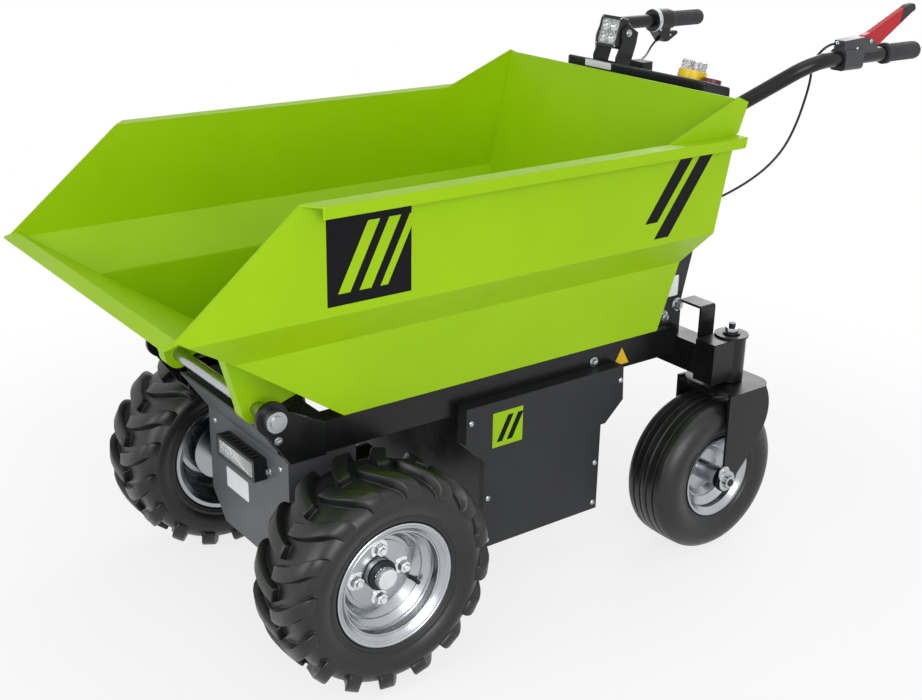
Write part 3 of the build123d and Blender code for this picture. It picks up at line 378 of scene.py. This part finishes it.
brake_points = [
    (-610, 306, 1030), (-598, 306, 1030), (-585, 303, 1026), (-576, 297, 1016), (-573, 287, 1002),
    (-575, 279, 981), (-579, 276, 955), (-580, 268, 918), (-574, 258, 866), (-556, 248, 815),
    (-519, 238, 776), (-474, 228, 749), (-432, 216, 729), (-406, 204, 717), (-392, 196, 710),
]
brake_cord = make_cord("brake_cable_sleeve", brake_points, 5)
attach(brake_cord, "chassis")
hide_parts("brake_cable")
throttle_points = [
    (-722, -309, 953), (-702, -302, 944), (-674, -284, 934), (-636, -252, 932), (-580, -202, 937),
    (-520, -145, 947), (-470, -95, 956), (-436, -58, 961), (-416, -36, 961),
]
throttle_cord = make_cord("throttle_cable_sleeve", throttle_points, 5)
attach(throttle_cord, "chassis")
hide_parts("throttle_cable")


# Ways to make the added pieces
WELD = 0.000002  # corners nearer to each other than this, in metres, are one corner


def finish_piece(name, mesh, material, body, replaced=(), smooth_deg=35):
    """Close a bmesh into a piece that rides on a body, with its place in its mesh."""
    bmesh.ops.remove_doubles(mesh, verts=mesh.verts, dist=WELD)
    bmesh.ops.recalc_face_normals(mesh, faces=mesh.faces)
    data = bpy.data.meshes.new(name)
    mesh.to_mesh(data)
    mesh.free()
    for polygon in data.polygons:
        polygon.use_smooth = True
    data.set_sharp_from_angle(angle=math.radians(smooth_deg))
    data.materials.append(material)
    piece = bpy.data.objects.new(name, data)
    bpy.context.scene.collection.objects.link(piece)
    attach(piece, body)
    if replaced:
        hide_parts(*replaced)


def place_on(origin_mm, normal, upward=(0, 0, 1)):
    """A frame in metres with Z along the normal and Y nearly upward; the shapes put in it are in mm."""
    z = Vector(normal).normalized()
    x = Vector(upward).cross(z).normalized()
    y = z.cross(x)
    place = Matrix((x, y, z)).transposed().to_4x4()
    place.translation = Vector(origin_mm) * MM
    return place @ Matrix.Scale(MM, 4)


def moved(place, x, y, z):
    """The same frame, moved in mm along its own axes."""
    return place @ Matrix.Translation((x, y, z))


def move_new(mesh, before, place):
    """Put the corners made since the set before was taken at their place."""
    for vert in mesh.verts:
        if vert not in before:
            vert.co = place @ vert.co


def add_turned(mesh, place, profile, steps=40):
    """Spin a profile of (radius, height) pairs round the place's Z axis."""
    before = set(mesh.verts)
    corners = [mesh.verts.new((radius, 0, height)) for radius, height in profile]
    edges = [mesh.edges.new(pair) for pair in zip(corners, corners[1:])]
    bmesh.ops.spin(mesh, geom=corners + edges, cent=(0, 0, 0), axis=(0, 0, 1), angle=math.tau, steps=steps,
                   use_merge=True)
    move_new(mesh, before, place)


def add_sheet(mesh, place, outline, thickness, edge=0.0):
    """A flat plate from its outline on the place's plane, with its top edges rounded if asked."""
    before = set(mesh.verts)
    corners = [mesh.verts.new((u, v, 0)) for u, v in outline]
    face = mesh.faces.new(corners)
    grown = bmesh.ops.extrude_face_region(mesh, geom=[face])
    top = [item for item in grown["geom"] if isinstance(item, bmesh.types.BMVert)]
    bmesh.ops.translate(mesh, verts=top, vec=(0, 0, thickness))
    if edge:
        rim = [e for e in mesh.edges if all(v in top for v in e.verts)]
        bmesh.ops.bevel(mesh, geom=rim, offset=edge, segments=2, profile=0.5, affect="EDGES", material=-1)
    move_new(mesh, before, place)


def rounded_outline(width, height, radius, steps=4):
    """Corner points of a rounded rectangle round its middle."""
    points = []
    for sx, sy, turn in ((1, 1, 0), (-1, 1, 90), (-1, -1, 180), (1, -1, 270)):
        for i in range(steps + 1):
            angle = math.radians(turn + 90 * i / steps)
            points.append((sx * (width / 2 - radius) + radius * math.cos(angle),
                           sy * (height / 2 - radius) + radius * math.sin(angle)))
    return points


# Heads are turned by this direction, which no face in use looks along, so they don't line up too neatly
HEAD_TURN = (0.31, 0.22, 0.92)


def add_hex_bolt(mesh, origin_mm, normal, flats=13.0, height=8.0, washer=True):
    """A hexagon head with rounded top edges, on its washer if asked."""
    place = place_on(origin_mm, normal, HEAD_TURN)
    base = 0.0
    if washer:
        base = 1.6
        reach = flats * 0.86
        add_turned(mesh, place, [(0, 0), (reach, 0), (reach, 1.2), (flats * 0.82, base), (0, base)], 28)
    corner_reach = flats / 2 / math.cos(math.radians(30))
    turns = [math.radians(60 * i) for i in range(6)]
    hexagon = [(corner_reach * math.cos(turn), corner_reach * math.sin(turn)) for turn in turns]
    add_sheet(mesh, moved(place, 0, 0, base), hexagon, height, 1.0)


def add_dome_screw(mesh, origin_mm, normal, radius=6.0, height=3.6):
    """A button-head screw with its socket, which is drawn round."""
    socket_floor = height - 2.2
    profile = [(radius, 0), (radius, 0.5), (radius * 0.93, height * 0.45), (radius * 0.72, height * 0.85),
               (radius * 0.45, height), (radius * 0.42, height), (radius * 0.4, socket_floor),
               (0, socket_floor)]
    add_turned(mesh, place_on(origin_mm, normal, HEAD_TURN), profile, 24)


# Plain films, in the places and slants of the photograph's stripes and signs
FILM = 0.35  # mm, drawn thicker than a real film so that it stands clear of the coat under it


def add_film(mesh, wall, side, corners):
    """A film on a wall that faces sideways, from its (x, z) corners in mm."""
    add_sheet(mesh, wall, [(-side * x, z) for x, z in corners], FILM)


def slanted_bar(foot, head, width, low, high):
    """Corners of a bar that leans back, from the front x of its foot and head and its two heights."""
    return [(foot, low), (foot - width, low), (head - width, high), (head, high)]


for side_name, side in SIDES:
    wall = place_on((0, side * TUB_WALL_Y, 0), (0, side, 0))
    square = bmesh.new()
    add_film(square, wall, side, [(594, 719), (438, 719), (438, 862), (594, 868)])
    finish_piece(f"tub_square_film_{side_name}", square, black_vinyl, "tub")
    bars = bmesh.new()
    for foot, head, width in ((575, 519, 22), (536, 480, 22), (497, 441, 14)):
        add_film(bars, moved(wall, 0, 0, FILM), side, slanted_bar(foot, head, width, 738, 848))
    finish_piece(f"tub_slant_films_{side_name}", bars, green_vinyl, "tub")
    stripes = bmesh.new()
    add_film(stripes, wall, side, [(-77, 748), (-107, 748), (-191, 864), (-159, 864)])
    add_film(stripes, wall, side, [(-102, 716), (-138, 716), (-243, 864), (-209, 864)])
    finish_piece(f"tub_stripe_films_{side_name}", stripes, black_vinyl, "tub")

# Battery covers: a green square film with two plain slanted bars, and the cover's button-head screws
for side_name, side in SIDES:
    cover_low, cover_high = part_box(f"battery_cover_{side_name}")
    cover_face = (cover_high.y if side > 0 else cover_low.y) / MM
    wall = place_on((0, cover_face, 0), (0, side, 0))
    square = bmesh.new()
    add_film(square, wall, side, [(182, 328), (110, 328), (110, 399), (182, 399)])
    finish_piece(f"cover_square_film_{side_name}", square, green_vinyl, "chassis")
    bars = bmesh.new()
    for foot, head in ((172, 146), (148, 122)):
        add_film(bars, moved(wall, 0, 0, FILM), side, slanted_bar(foot, head, 13, 338, 389))
    finish_piece(f"cover_slant_films_{side_name}", bars, black_vinyl, "chassis")
    screws = bmesh.new()
    for x, z in ((233, 392), (-141, 392), (190, 135), (-83, 135), (190, 225), (-83, 225)):
        add_dome_screw(screws, (x, cover_face, z), (0, side, 0))
    finish_piece(f"cover_screws_{side_name}", screws, bolt_zinc, "chassis")

# Blank films, in the places of the photograph's labels
for name, spot, normal, outline, vinyl, slot_name in (
        ("fascia_blank_label", (FASCIA_X, -46, 245), (1, 0, 0), rounded_outline(88, 42, 3),
         white_vinyl, "dark_cover_paint"),
        ("console_blank_label", (-345, -100, 954.5), (1, 0, 0), rounded_outline(81, 14, 2),
         white_vinyl, "moulded_black"),
        ("column_blank_label", (-318, 190, 543), (0, 1, 0), rounded_outline(38, 44, 3),
         white_vinyl, "dark_cover_paint"),
        ("rail_blank_triangle", (-166, RAIL_Y, 424), (0, 1, 0), [(-21, -13), (21, -13), (0, 23)],
         yellow_vinyl, "black_enamel")):
    label = bmesh.new()
    add_sheet(label, place_on(spot, normal), outline, FILM)
    finish_piece(name, label, vinyl, "chassis")

# Light bar: a reflector tray with rows of LEDs behind a clear cover; then the fascia's bolts and screws
bar_low, bar_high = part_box("light_bar")
bar_z = (bar_low.z + bar_high.z) / 2 / MM
tray_x = bar_high.x / MM - 4
tray_thickness = 0.6
led_pitch_y, led_pitch_z = 9.8, 9.2
tray = bmesh.new()
leds = bmesh.new()
add_sheet(tray, place_on((tray_x, 0, bar_z), (1, 0, 0)), rounded_outline(132, 28.4, 2), tray_thickness)
for row in range(3):
    for column in range(13):
        across = (column - 6 + 0.25 * (row % 2)) * led_pitch_y
        place = place_on((tray_x + tray_thickness, across, bar_z + (row - 1) * led_pitch_z), (1, 0, 0))
        add_turned(tray, place, [(4.3, 0), (3.9, 1.5), (3.5, 1.5), (2.0, 0.2), (2.0, 0)], 12)
        add_turned(leds, place, [(1.9, 0), (1.9, 0.9), (1.2, 1.5), (0, 1.7)], 8)
finish_piece("light_bar_reflectors", tray, lamp_reflector, "chassis")
finish_piece("light_bar_leds", leds, led_phosphor, "chassis")
cover = bmesh.new()
add_sheet(cover, place_on((tray_x + 2.6, 0, bar_z), (1, 0, 0)), rounded_outline(133, 29.4, 2.4), 1.2, 0.4)
finish_piece("light_bar_cover", cover, clear, "chassis")
screws = bmesh.new()
for y in (-84, 84):
    add_hex_bolt(screws, (FASCIA_X, y, bar_z), (1, 0, 0), 10, 6)
for y in (-128, 128):
    add_dome_screw(screws, (FASCIA_X, y, 348), (1, 0, 0), 5.5, 3.4)
finish_piece("fascia_bolts", screws, bolt_zinc, "chassis")

# Headlamp: a cup and an LED in each of its four recesses, a clear lens, its corner screws and side bolts
lamp_tilt = math.radians(16)
lamp_normal = Vector((math.cos(lamp_tilt), 0, math.sin(lamp_tilt)))
lamp_face = place_on((-392, -123, 1018), lamp_normal)
recess, lamp_corner = 12.5, 28.8
cups = bmesh.new()
leds = bmesh.new()
for u in (-recess, recess):
    for v in (-recess, recess):
        place = moved(lamp_face, u, v, -3)
        add_turned(cups, place, [(11.9, 0.0), (11.9, 0.9), (11.0, 0.9), (10.2, -0.6), (9.0, -2.6),
                                 (7.6, -4.4), (4.5, -5.6), (0, -5.7)], 24)
        add_turned(leds, place, [(3.4, -5.5), (3.4, -4.7), (2.6, -3.4), (1.4, -2.8), (0, -2.6)], 14)
finish_piece("headlamp_cups", cups, lamp_reflector, "chassis")
finish_piece("headlamp_leds", leds, led_phosphor, "chassis")
lens = bmesh.new()
add_sheet(lens, moved(lamp_face, 0, 0, -1.6), rounded_outline(53.2, 53.2, 3.6), 1.3, 0.4)
finish_piece("headlamp_lens", lens, clear, "chassis")
screws = bmesh.new()
for u in (-lamp_corner, lamp_corner):
    for v in (-lamp_corner, lamp_corner):
        add_dome_screw(screws, lamp_face @ Vector((u, v, 0)) / MM, lamp_normal, 2.6, 2.6)
for y, outward in ((-86, 1), (-160, -1)):
    add_hex_bolt(screws, (-416, y, 1016), (0, outward, 0), 9, 4)
finish_piece("headlamp_bolts", screws, bolt_zinc, "chassis")


def make_grip(side_name, side):
    """A handlebar grip, ribbed along its length, with a domed end and a collar at the front."""
    mesh = bmesh.new()
    ribs, corners_per_rib = 20, 4
    # Where along X, its radius, and how high the ribs stand there
    stations = [(-866.0, 9.0, 0.0), (-865.6, 12.5, 0.0), (-864.0, 15.6, 0.1), (-861.0, 17.4, 0.5),
                (-857.0, 18.0, 1.0), (-776.0, 18.0, 1.0), (-773.0, 17.8, 0.3), (-770.0, 17.8, 0.0),
                (-768.0, 20.2, 0.0), (-766.5, 21.4, 0.0), (-756.5, 21.4, 0.0), (-754.6, 20.4, 0.0),
                (-754.0, 16.0, 0.0)]
    loops = []
    for x, radius, rib in stations:
        ring = bmesh.ops.create_circle(mesh, cap_ends=False, segments=ribs * corners_per_rib,
                                       radius=radius)["verts"]
        for i, vert in enumerate(ring):
            vert.co *= (radius + rib * 0.5 * math.cos(math.tau * i / corners_per_rib)) / radius
        bmesh.ops.transform(mesh, matrix=place_on((x, side * BAR_Y, BAR_Z), (-1, 0, 0)), verts=ring)
        loops.append(list(dict.fromkeys(edge for vert in ring for edge in vert.link_edges)))
    for first, second in zip(loops, loops[1:]):
        bmesh.ops.bridge_loops(mesh, edges=first + second)
    bmesh.ops.holes_fill(mesh, edges=loops[0] + loops[-1], sides=0)
    finish_piece(f"grip_ribbed_{side_name}", mesh, grip_rubber, "chassis",
                 replaced=(f"grip_{side_name}",), smooth_deg=50)


for side_name, side in SIDES:
    make_grip(side_name, side)

# Guard over the main switch: a clear cap with upright ribs and a rolled foot, and the key knob inside it
panel_normal = Vector((-0.25, 0, 1)).normalized()
guard_place = moved(place_on((-400, 120, 950.25), panel_normal, (0, 1, 0)), 0, 0, 18)
cap_ribs = 16
cap = bmesh.new()
add_turned(cap, guard_place, [(26.8, 0), (26.8, 1.6), (25.2, 2.4), (25.0, 16.5), (24.2, 19.0), (22.0, 20.0),
                              (0, 20.0), (0, 18.4), (21.4, 18.4), (23.0, 17.0), (23.4, 2.0), (23.4, 0),
                              (26.8, 0)], 48)
for i in range(cap_ribs):
    turned = guard_place @ Matrix.Rotation(math.tau * i / cap_ribs, 4, "Z")
    rib_outline = [(-0.5, -1.1), (1.5, -0.7), (1.5, 0.7), (-0.5, 1.1)]
    add_sheet(cap, moved(turned, 25.0, 0, 2.4), rib_outline, 14.2, 0.3)
finish_piece("guard_cap_ribbed", cap, clear, "chassis", replaced=("guard_cap",))
key = bmesh.new()
add_turned(key, guard_place, [(13.5, 0.1), (13.5, 5.0), (12.4, 6.2), (9.0, 6.6), (9.0, 7.2), (0, 7.2)], 32)
add_sheet(key, moved(guard_place, 0, 0, 7.0), rounded_outline(6.4, 21, 2.4), 8.5, 1.2)
finish_piece("guard_key", key, knob_red, "chassis")

# Brake lever: its dark dipped tip, its pin, the clamp's screw and the cable's adjuster
tip = bmesh.new()
add_sheet(tip, place_on((0, 316.8, 0), (0, -1, 0)),
          [(-801, 1089.6), (-812.2, 1094.5), (-830.4, 1096.7), (-834.5, 1095.3), (-838.6, 1089.0),
           (-838.8, 1083.6), (-835.5, 1082.6), (-793.5, 1060.5)], 13.6, 1.4)
finish_piece("lever_dipped_tip", tip, grip_rubber, "chassis")
pin = bmesh.new()
for outward in (1, -1):
    face_y = BAR_Y + outward * 13
    add_turned(pin, place_on((-695, face_y, 1031), (0, outward, 0)),
               [(4.6, -0.2), (4.6, 1.6), (4.0, 2.2), (0, 2.2)], 24)
    add_dome_screw(pin, (-655, face_y, 1019), (0, outward, 0), 3.4, 2.4)
add_turned(pin, place_on(CABLE_ENTRY, (1, 0, 0)), [(5.2, -0.1), (5.2, 4.0), (4.2, 4.6), (4.2, 9.0),
                                                   (3.4, 9.8), (3.1, 9.8), (3.1, 0)], 20)
finish_piece("clamp_pins", pin, bolt_zinc, "chassis")

# Throttle: the polished band round its collar, and its screws
band = bmesh.new()
add_turned(band, place_on((-706, -BAR_Y, BAR_Z), (-1, 0, 0)), [(25.9, 0), (26.9, 0.4), (27.2, 1.2),
                                                               (27.2, 9.0), (26.9, 9.8), (25.9, 10.2)], 48)
finish_piece("throttle_band", band, bolt_zinc, "chassis")
screws = bmesh.new()
for x, z in ((-752, 965), (-719, 979)):
    for outward in (1, -1):
        add_dome_screw(screws, (x, -BAR_Y + outward * 17, z), (0, outward, 0), 3.2, 2.2)
finish_piece("throttle_screws", screws, bolt_zinc, "chassis")

# Castors: an axle plate with its nut and screw on each fork arm, and the washer and nut of the swivel
AXLE_PLATE = 2.6
SWIVEL_WASHER = 3.2
for side_name, side in SIDES:
    nuts = bmesh.new()
    hub_x, hub_y, hub_z = on_side(CASTOR_HUB, side)
    for outward in (1, -1):
        arm_y = hub_y + outward * 75
        add_hex_bolt(nuts, (hub_x, arm_y + outward * AXLE_PLATE, hub_z), (0, outward, 0), 25.4, 8.4)
        leaning = Matrix.Rotation(outward * math.radians(24), 4, "Z")
        plate = place_on((hub_x, arm_y, hub_z), (0, outward, 0)) @ leaning
        add_sheet(nuts, moved(plate, 0, 10, 0), rounded_outline(31, 54, 15.4, 6), AXLE_PLATE, 0.7)
        add_dome_screw(nuts, plate @ Vector((0, 29, AXLE_PLATE)) / MM, (0, outward, 0), 4.6, 3.0)
    finish_piece(f"castor_axle_nuts_{side_name}", nuts, bolt_zinc, f"castor_{side_name}")
    top = bmesh.new()
    swivel_x, swivel_y, swivel_z = on_side(SWIVEL_TOP, side)
    add_turned(top, place_on((swivel_x, swivel_y, swivel_z), (0, 0, 1)),
               [(0, 0), (21.4, 0), (21.4, 2.8), (20.8, SWIVEL_WASHER), (0, SWIVEL_WASHER)], 32)
    add_hex_bolt(top, (swivel_x, swivel_y, swivel_z + SWIVEL_WASHER), (0, 0, 1), 23.6, 8.0, washer=False)
    finish_piece(f"castor_top_nut_{side_name}", top, bolt_zinc, f"castor_{side_name}")


def spot_on_wheel(side, reach, angle, outward):
    """A point on a drive wheel: its reach and angle round the hub, and how far out of the middle plane."""
    x, y, z = DRIVE_HUB
    return (x + reach * math.cos(angle), side * (y + outward), z + reach * math.sin(angle))


# Wheels: the drive hub's collar and cap, its four nuts, the rim's rolled lips, the castor wheel's bearing
# covers, and the drive wheel's valve
for side_name, side in SIDES:
    sideways = (0, side, 0)
    hub = place_on(on_side(DRIVE_HUB, side), sideways)
    drive_wheel = f"drive_wheel_{side_name}"
    collar = bmesh.new()
    add_turned(collar, hub, [(20.0, 24.0), (29.0, 24.0), (29.0, 25.4), (27.8, 28.0), (26.0, 29.2),
                             (20.2, 29.6)], 48)
    finish_piece(f"hub_collar_{side_name}", collar, moulded_black, drive_wheel)
    cap = bmesh.new()
    add_turned(cap, hub, [(19.9, 29.0), (20.6, 29.6), (20.6, 42.0), (19.6, 44.4), (17.6, 45.6), (12.0, 46.4),
                          (0, 46.8)], 48)
    finish_piece(f"hub_cap_{side_name}", cap, lamp_reflector, drive_wheel)
    nuts = bmesh.new()
    for i in range(4):
        spot = spot_on_wheel(side, 48.5, math.radians(90 * i), 17)
        add_hex_bolt(nuts, spot, sideways, 20.4, 9.6)
        add_turned(nuts, place_on(spot, sideways), [(0, 11), (6.4, 11), (6.4, 15.4), (5.6, 16.4), (0, 16.4)],
                   20)
    finish_piece(f"wheel_nuts_{side_name}", nuts, lamp_reflector, drive_wheel)
    lips = bmesh.new()
    for radius, height, bead in ((113.6, 67.0, 2.9), (107.4, 66.2, 1.4), (97.2, 58.5, 1.7),
                                 (90.2, 44.0, 1.5)):
        turns = [math.tau * i / 10 for i in range(11)]
        round_bead = [(radius + bead * math.cos(turn), height + bead * math.sin(turn)) for turn in turns]
        add_turned(lips, hub, round_bead, 96)
    finish_piece(f"rim_rolled_lips_{side_name}", lips, rim_lip_zinc, drive_wheel)
    bearing = bmesh.new()
    for outward in (1, -1):
        add_turned(bearing, place_on(on_side(CASTOR_HUB, side), (0, outward, 0)),
                   [(8.6, 59.6), (23.0, 59.6), (23.0, 61.4), (20.0, 62.4), (13.0, 62.4), (12.2, 61.0),
                    (8.6, 61.0), (8.6, 59.6)], 36)
    finish_piece(f"castor_bearing_covers_{side_name}", bearing, moulded_black,
                 f"castor_wheel_{side_name}")
    valve = bmesh.new()
    valve_place = place_on(spot_on_wheel(side, 74, math.radians(205), 13.5), sideways)
    add_turned(valve, valve_place, [(5.4, 0), (5.4, 3), (4.0, 5), (3.6, 20), (3.8, 20.5), (3.8, 27),
                                    (3.0, 28), (0, 28)], 18)
    finish_piece(f"wheel_valve_{side_name}", valve, grip_rubber, drive_wheel)

# Frame bolts: the column's feet, the rails, the pivot plates and the rear beam
for side_name, side in SIDES:
    bolts = bmesh.new()
    for x, y, z, flats in ((-338, 190, 500, 17), (-298, 190, 480, 17), (-91, RAIL_Y, 433, 12),
                           (622, 220, 453, 9)):
        add_hex_bolt(bolts, (x, side * y, z), (0, side, 0), flats, flats * 0.5)
    for y, z in ((120, 425), (160, 390)):
        add_hex_bolt(bolts, (BEAM_REAR_X, side * y, z), (-1, 0, 0), 12, 6)
    finish_piece(f"frame_bolts_{side_name}", bolts, bolt_zinc, "chassis")

# Tyres: smooth carcasses with their sidewall rings, and the drive wheels' curved lugs
LUGS = 16  # on each half of the tread
LUG_ROOT, LUG_TIP = -5, 84  # where a lug starts and ends, in mm across from the tyre's middle plane
PITCH_RADIUS = 204.0  # mm, at which a lug's place round the tyre is measured


def tyre_section(half_outer, half_inner):
    """A closed section from the halves of its outside and inside, as (radius, across) pairs."""
    outside = half_outer + [(radius, -across) for radius, across in reversed(half_outer) if across > 0.01]
    inside = [(radius, -across) for radius, across in half_inner] + list(reversed(half_inner))
    return outside + inside + [half_outer[0]]


def lug_station(across):
    """Middle and half width of a lug, in mm round the tyre, at a distance across from its middle plane."""
    share = (across - LUG_ROOT) / (LUG_TIP - LUG_ROOT)
    middle = 21 - 10 * share - 44 * share * share
    return middle, 12.6 + 4.2 * share


def add_lug(mesh):
    """One bar of the tread, swept back as it runs out over the shoulder and down the sidewall."""
    flare = 3.2
    sharp = math.radians(38)
    # Across and radius of the bar's top, then across and radius of its root inside the carcass
    stations = [(-5.0, 205.4, -4.0, 184), (10, 206.4, 10, 184), (26, 206.8, 26, 184), (40, 206.6, 40, 183),
                (52, 205.6, 52, 181), (62, 203.4, 60, 178), (70, 200.2, 64, 174), (76.6, 195.2, 67, 170),
                (81.2, 188.0, 69, 168), (83.8, 179.0, 71, 164), (83.9, 169.5, 72, 160)]
    loops = []
    for across, top, root_across, root in stations:
        middle, half = lug_station(across)
        corners = []
        for offset, y, radius in ((-half - flare, root_across, root), (-half, across, top),
                                  (half, across, top), (half + flare, root_across, root)):
            turn = (middle + offset) / PITCH_RADIUS
            corners.append(mesh.verts.new((radius * math.sin(turn), y, radius * math.cos(turn))))
        loops.append([mesh.edges.new((corners[i], corners[(i + 1) % 4])) for i in range(4)])
    faces = []
    for first, second in zip(loops, loops[1:]):
        faces += bmesh.ops.bridge_loops(mesh, edges=first + second)["faces"]
    faces += bmesh.ops.holes_fill(mesh, edges=loops[0] + loops[-1], sides=0)["faces"]
    edges = dict.fromkeys(edge for face in faces for edge in face.edges)
    corners_to_round = [edge for edge in edges if edge.is_manifold and edge.calc_face_angle(0) > sharp]
    bmesh.ops.bevel(mesh, geom=corners_to_round, offset=2.6, segments=2, profile=0.5, affect="EDGES",
                    material=-1)


drive_outer = [(103, 58), (108, 63.4), (114, 64.8), (117.5, 65.6), (118.5, 68.0), (121, 69.6), (124, 70.4),
               (125, 72.4), (127.5, 73.2), (130, 73.4), (131, 72.8), (136, 76.4), (143, 79.6), (150, 81.8),
               (157, 82.4), (163, 81.4), (169, 78.8), (176, 73.6), (182, 66.6), (186.6, 57), (189.4, 44),
               (190.6, 26), (191, 0)]
drive_inner = [(103, 50), (120, 60), (150, 70), (172, 58), (178, 30), (179, 0)]
castor_outer = [(78, 42), (83, 47.2), (89.5, 48.4), (90.5, 50.4), (93, 52.0), (96, 53.2), (97, 55.2),
                (99.5, 56.2), (101.5, 56.0), (106, 58.4), (112, 60.8), (119, 62.8), (126, 63.6), (133, 63.4),
                (140, 61.8), (147, 58.6), (153, 54.2), (158, 48.8), (161.8, 43.4), (163.4, 39.6),
                (164.2, 29.2), (163.8, 29.0), (160.4, 28.2), (160.4, 25.8), (163.8, 25.0), (164.5, 24.6),
                (164.9, 11.4), (164.4, 11.0), (160.8, 10.2), (160.8, 7.8), (164.4, 7.0), (165, 6.4), (165, 0)]
castor_inner = [(78, 36), (92, 44), (120, 52), (145, 46), (152, 24), (153, 0)]
lug = bmesh.new()
add_lug(lug)
one_lug = bpy.data.meshes.new("one_lug")
lug.to_mesh(one_lug)
lug.free()
for side_name, side in SIDES:
    tyre = bmesh.new()
    hub_frame = Matrix.Translation(Vector(on_side(DRIVE_HUB, side)) * MM) @ Matrix.Scale(MM, 4)
    for i in range(LUGS):
        for hand, shift in ((1, 0.0), (-1, 0.5)):
            before = set(tyre.verts)
            tyre.from_mesh(one_lug)
            turn = Matrix.Rotation(math.tau * (i + shift) / LUGS, 4, "Y")
            mirror = Matrix.Scale(hand * side, 4, (0, 1, 0))
            move_new(tyre, before, hub_frame @ turn @ mirror)
    add_turned(tyre, place_on(on_side(DRIVE_HUB, side), (0, side, 0)),
               tyre_section(drive_outer, drive_inner), 128)
    finish_piece(f"drive_tyre_lugged_{side_name}", tyre, tread_rubber,
                 f"drive_wheel_{side_name}", replaced=(f"drive_tyre_{side_name}",), smooth_deg=42)
    tyre = bmesh.new()
    add_turned(tyre, place_on(on_side(CASTOR_HUB, side), (0, side, 0)),
               tyre_section(castor_outer, castor_inner), 128)
    finish_piece(f"castor_tyre_ribbed_{side_name}", tyre, tread_rubber,
                 f"castor_wheel_{side_name}", replaced=(f"castor_tyre_{side_name}",), smooth_deg=48)
bpy.data.meshes.remove(one_lug)
